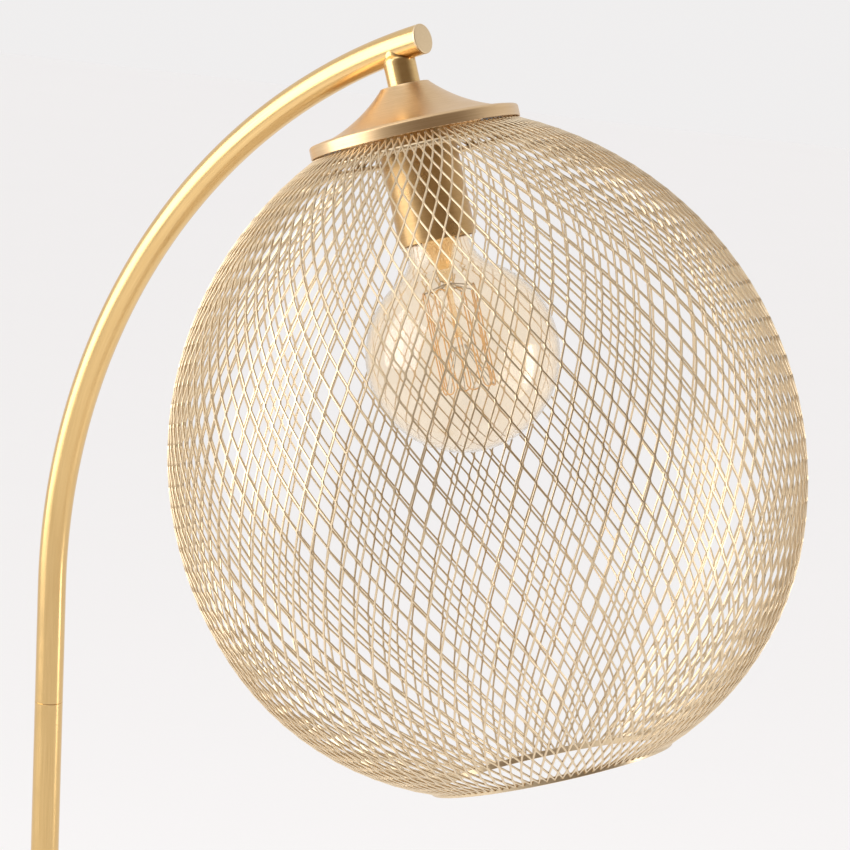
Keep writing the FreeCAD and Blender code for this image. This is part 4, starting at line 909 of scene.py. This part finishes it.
# %% [markdown]
# One strand, spun a hundred times round the axis, makes a family. The second
# family leans the other way and lies a hair deeper, so that the faces of the
# two don't share a plane where they cross, which would flicker in a render.

# %% Two families of strands
RIGHT_LIFT = -0.03


def strand_family(name, lean, node, lift):
    """All the strands that lean one way, as one piece."""
    bm = bmesh.new()
    faces = section_face(bm, STRAND_WIDTH, STRAND_THICKNESS, STRAND_CORNER)
    extrude_along(bm, faces, section_frames(lean, lift))
    bmesh.ops.recalc_face_normals(bm, faces=bm.faces)
    bmesh.ops.spin(
        bm,
        geom=bm.verts[:] + bm.edges[:] + bm.faces[:],
        cent=(0, 0, 0),
        axis=Z_AXIS,
        angle=math.tau,
        steps=STRANDS,
        use_duplicate=True,
    )
    bmesh.ops.remove_doubles(bm, verts=bm.verts, dist=0.001 * mm)
    return make_piece(bm, name, champagne, "head", [node], HEAD)


strand_family("shade_strands_left", -1, "cage_strands_left", 0.0)
strand_family("shade_strands_right", 1, "cage_strands_right", RIGHT_LIFT)

# %% [markdown]
# The bonds are short upright bars, a little wider than one strand, where the
# two families stay joined. Each row has a hundred of them, and every second
# row is turned by half a step. A bar has few faces, because there are thousands.

# %% Bonds
BOND_WIDTH, BOND_THICKNESS, BOND_LENGTH, BOND_CORNER = 1.35, 1.1, 2.4, 0.3
bonds = bmesh.new()
for knot in range(KNOTS):
    length = FIRST_KNOT + knot * KNOT_PITCH
    turned = TURN_PER_KNOT * knot
    low, outward = skin_point(length - BOND_LENGTH / 2, turned)
    high, _ = skin_point(length + BOND_LENGTH / 2, turned)
    place = place_on_skin((low + high) / 2, outward, (high - low).normalized())
    made = bmesh.ops.create_cube(bonds, size=1.0 * mm)["verts"]
    bmesh.ops.scale(bonds, verts=made, vec=(BOND_WIDTH, BOND_THICKNESS, BOND_LENGTH))
    bmesh.ops.transform(bonds, matrix=place, verts=made)
bmesh.ops.bevel(
    bonds,
    geom=bonds.edges[:],
    offset=BOND_CORNER * mm,
    offset_type="OFFSET",
    affect="EDGES",
    segments=1,
    profile=0.5,
    material=-1,
)
bmesh.ops.recalc_face_normals(bonds, faces=bonds.faces)
bmesh.ops.spin(
    bonds,
    geom=bonds.verts[:] + bonds.edges[:] + bonds.faces[:],
    cent=(0, 0, 0),
    axis=Z_AXIS,
    angle=math.tau,
    steps=STRANDS,
    use_duplicate=True,
)
bmesh.ops.remove_doubles(bonds, verts=bonds.verts, dist=0.001 * mm)
make_piece(bonds, "shade_bonds", champagne, "head", (), HEAD)

# %% [markdown]
# Two rings finish the shade: a round hoop a few millimetres below the canopy's
# edge, and the flat strip that binds the cut ends round the mouth. The bands
# that hold the strands' upper ends lie inside the canopy and aren't drawn here.

# %% Rings of the shade
EDGE_BREAK = 0.15
STRIP_TOP, STRIP_FOOT = -MOUTH_DROP, -MOUTH_DROP - MOUTH_HEIGHT
STRIP_BORE = MOUTH_RADIUS - MOUTH_STRIP
strip = profile(
    (STRIP_BORE, STRIP_TOP - EDGE_BREAK),
    [
        (STRIP_BORE + EDGE_BREAK, STRIP_TOP),
        (MOUTH_RADIUS - EDGE_BREAK, STRIP_TOP),
        (MOUTH_RADIUS, STRIP_TOP - EDGE_BREAK),
        (MOUTH_RADIUS, STRIP_FOOT + EDGE_BREAK),
        (MOUTH_RADIUS - EDGE_BREAK, STRIP_FOOT),
        (STRIP_BORE + EDGE_BREAK, STRIP_FOOT),
        (STRIP_BORE, STRIP_FOOT + EDGE_BREAK),
        (STRIP_BORE, STRIP_TOP - EDGE_BREAK),
    ],
)
make_piece(lathe(strip, 200), "mouth_strip", champagne, "head", ["mouth_ring"], HEAD)

HOOP_RADIUS, HOOP_DROP, HOOP_WIRE = 58.08, 6.9, 1.5
hoop = bmesh.new()
bmesh.ops.create_circle(
    hoop,
    segments=16,
    radius=HOOP_WIRE * mm,
    matrix=Matrix.Translation(at(HOOP_RADIUS, -HOOP_DROP)) @ Matrix.Rotation(math.pi / 2, 4, "X"),
)
make_piece(lathe(hoop, 160), "upper_hoop_wire", champagne, "head", ["upper_hoop"], HEAD)

# %% [markdown]
# The floor is a plain pale plane that catches the lamp's shadow, and it isn't
# part of the object. The background is the world's own pale colour.

# %% Floor
floor_mesh = bmesh.new()
bmesh.ops.create_grid(floor_mesh, x_segments=1, y_segments=1, size=12)
floor_data = bpy.data.meshes.new("floor")
floor_mesh.to_mesh(floor_data)
floor_mesh.free()
floor = bpy.data.objects.new("floor", floor_data)
bpy.context.scene.collection.objects.link(floor)
floor_finish = speckled("pale_floor", (0.905, 0.893, 0.89), (0.895, 0.883, 0.88), 3.0, 0.8, bump=0.0)
floor.data.materials.append(floor_finish)

# %% [markdown]
# Three soft lamps light the object: a wide strong one on the left, a narrow one
# on the right and a weak one above. The two at the sides give the bright edge
# along the arm and the reflections on the globe.

# %% Lights
def soft_lamp(name, direction, distance, width, height, strength):
    """A rectangular lamp that faces the shade, placed by a direction in the camera's axes."""
    light = bpy.data.lights.new(name, "AREA")
    light.shape = "RECTANGLE"
    light.size, light.size_y = width, height
    light.energy = strength
    lamp = bpy.data.objects.new(name, light)
    bpy.context.scene.collection.objects.link(lamp)
    towards = (right * direction[0] + up * direction[1] + back * direction[2]).normalized()
    lamp.visible_camera = False
    lamp.location = aim + towards * distance
    lamp.rotation_mode = "QUATERNION"
    lamp.rotation_quaternion = towards.to_track_quat("Z", "Y")
    return lamp


soft_lamp("left_window", (-0.95, 0.22, 0.22), 2.4, 2.3, 2.2, 44)
soft_lamp("right_window", (0.98, -0.12, 0.04), 2.4, 0.5, 1.4, 10)
soft_lamp("upper_fill", (-0.35, 0.85, 0.40), 2.6, 1.6, 1.6, 8)

# %% [markdown]
# The world fills in from all round, and shows a different colour to each kind
# of ray. The camera, and what is seen through glass, get a pale backdrop. What
# shines gets the backdrop too, but a dark side behind the camera, which gives
# the brass its contrast. All other light is an even pale fill.

# %% World
BACKDROP, EVEN_FILL, DARK_SIDE = (0.87, 0.858, 0.858, 1), (0.98, 0.97, 0.97, 1), (0.22, 0.17, 0.13, 1)
dark_direction = back * 0.8 + right * 0.35 - up * 0.1
world = bpy.data.worlds.new("pale_room")
bpy.context.scene.world = world
world.use_nodes = True
tree = world.node_tree
background = tree.nodes["Background"]
path = add_node(tree, "ShaderNodeLightPath").outputs
direction = add_node(tree, "ShaderNodeTexCoord").outputs["Generated"]
facing = add_node(
    tree, "ShaderNodeVectorMath", {0: direction, 1: tuple(dark_direction)}, operation="DOT_PRODUCT"
).outputs["Value"]
dark_share = add_node(
    tree, "ShaderNodeMapRange", {"Value": facing, "From Min": 0.05, "From Max": 0.75, "To Min": 0.0, "To Max": 1.0}
).outputs[0]
mirrored = colour_mix(tree, dark_share, BACKDROP, DARK_SIDE)
indirect = colour_mix(tree, path["Is Glossy Ray"], EVEN_FILL, mirrored)
straight = maths(tree, "MAXIMUM", path["Is Camera Ray"], path["Is Transmission Ray"])
final = colour_mix(tree, straight, indirect, BACKDROP)
tree.links.new(final, background.inputs["Color"])
background.inputs["Strength"].default_value = 1.0
bpy.context.scene.view_settings.view_transform = "Standard"

# %% [markdown]
# Last, the number of pieces that were made is printed.

# %% Finish
print("pieces:", len(made_pieces))
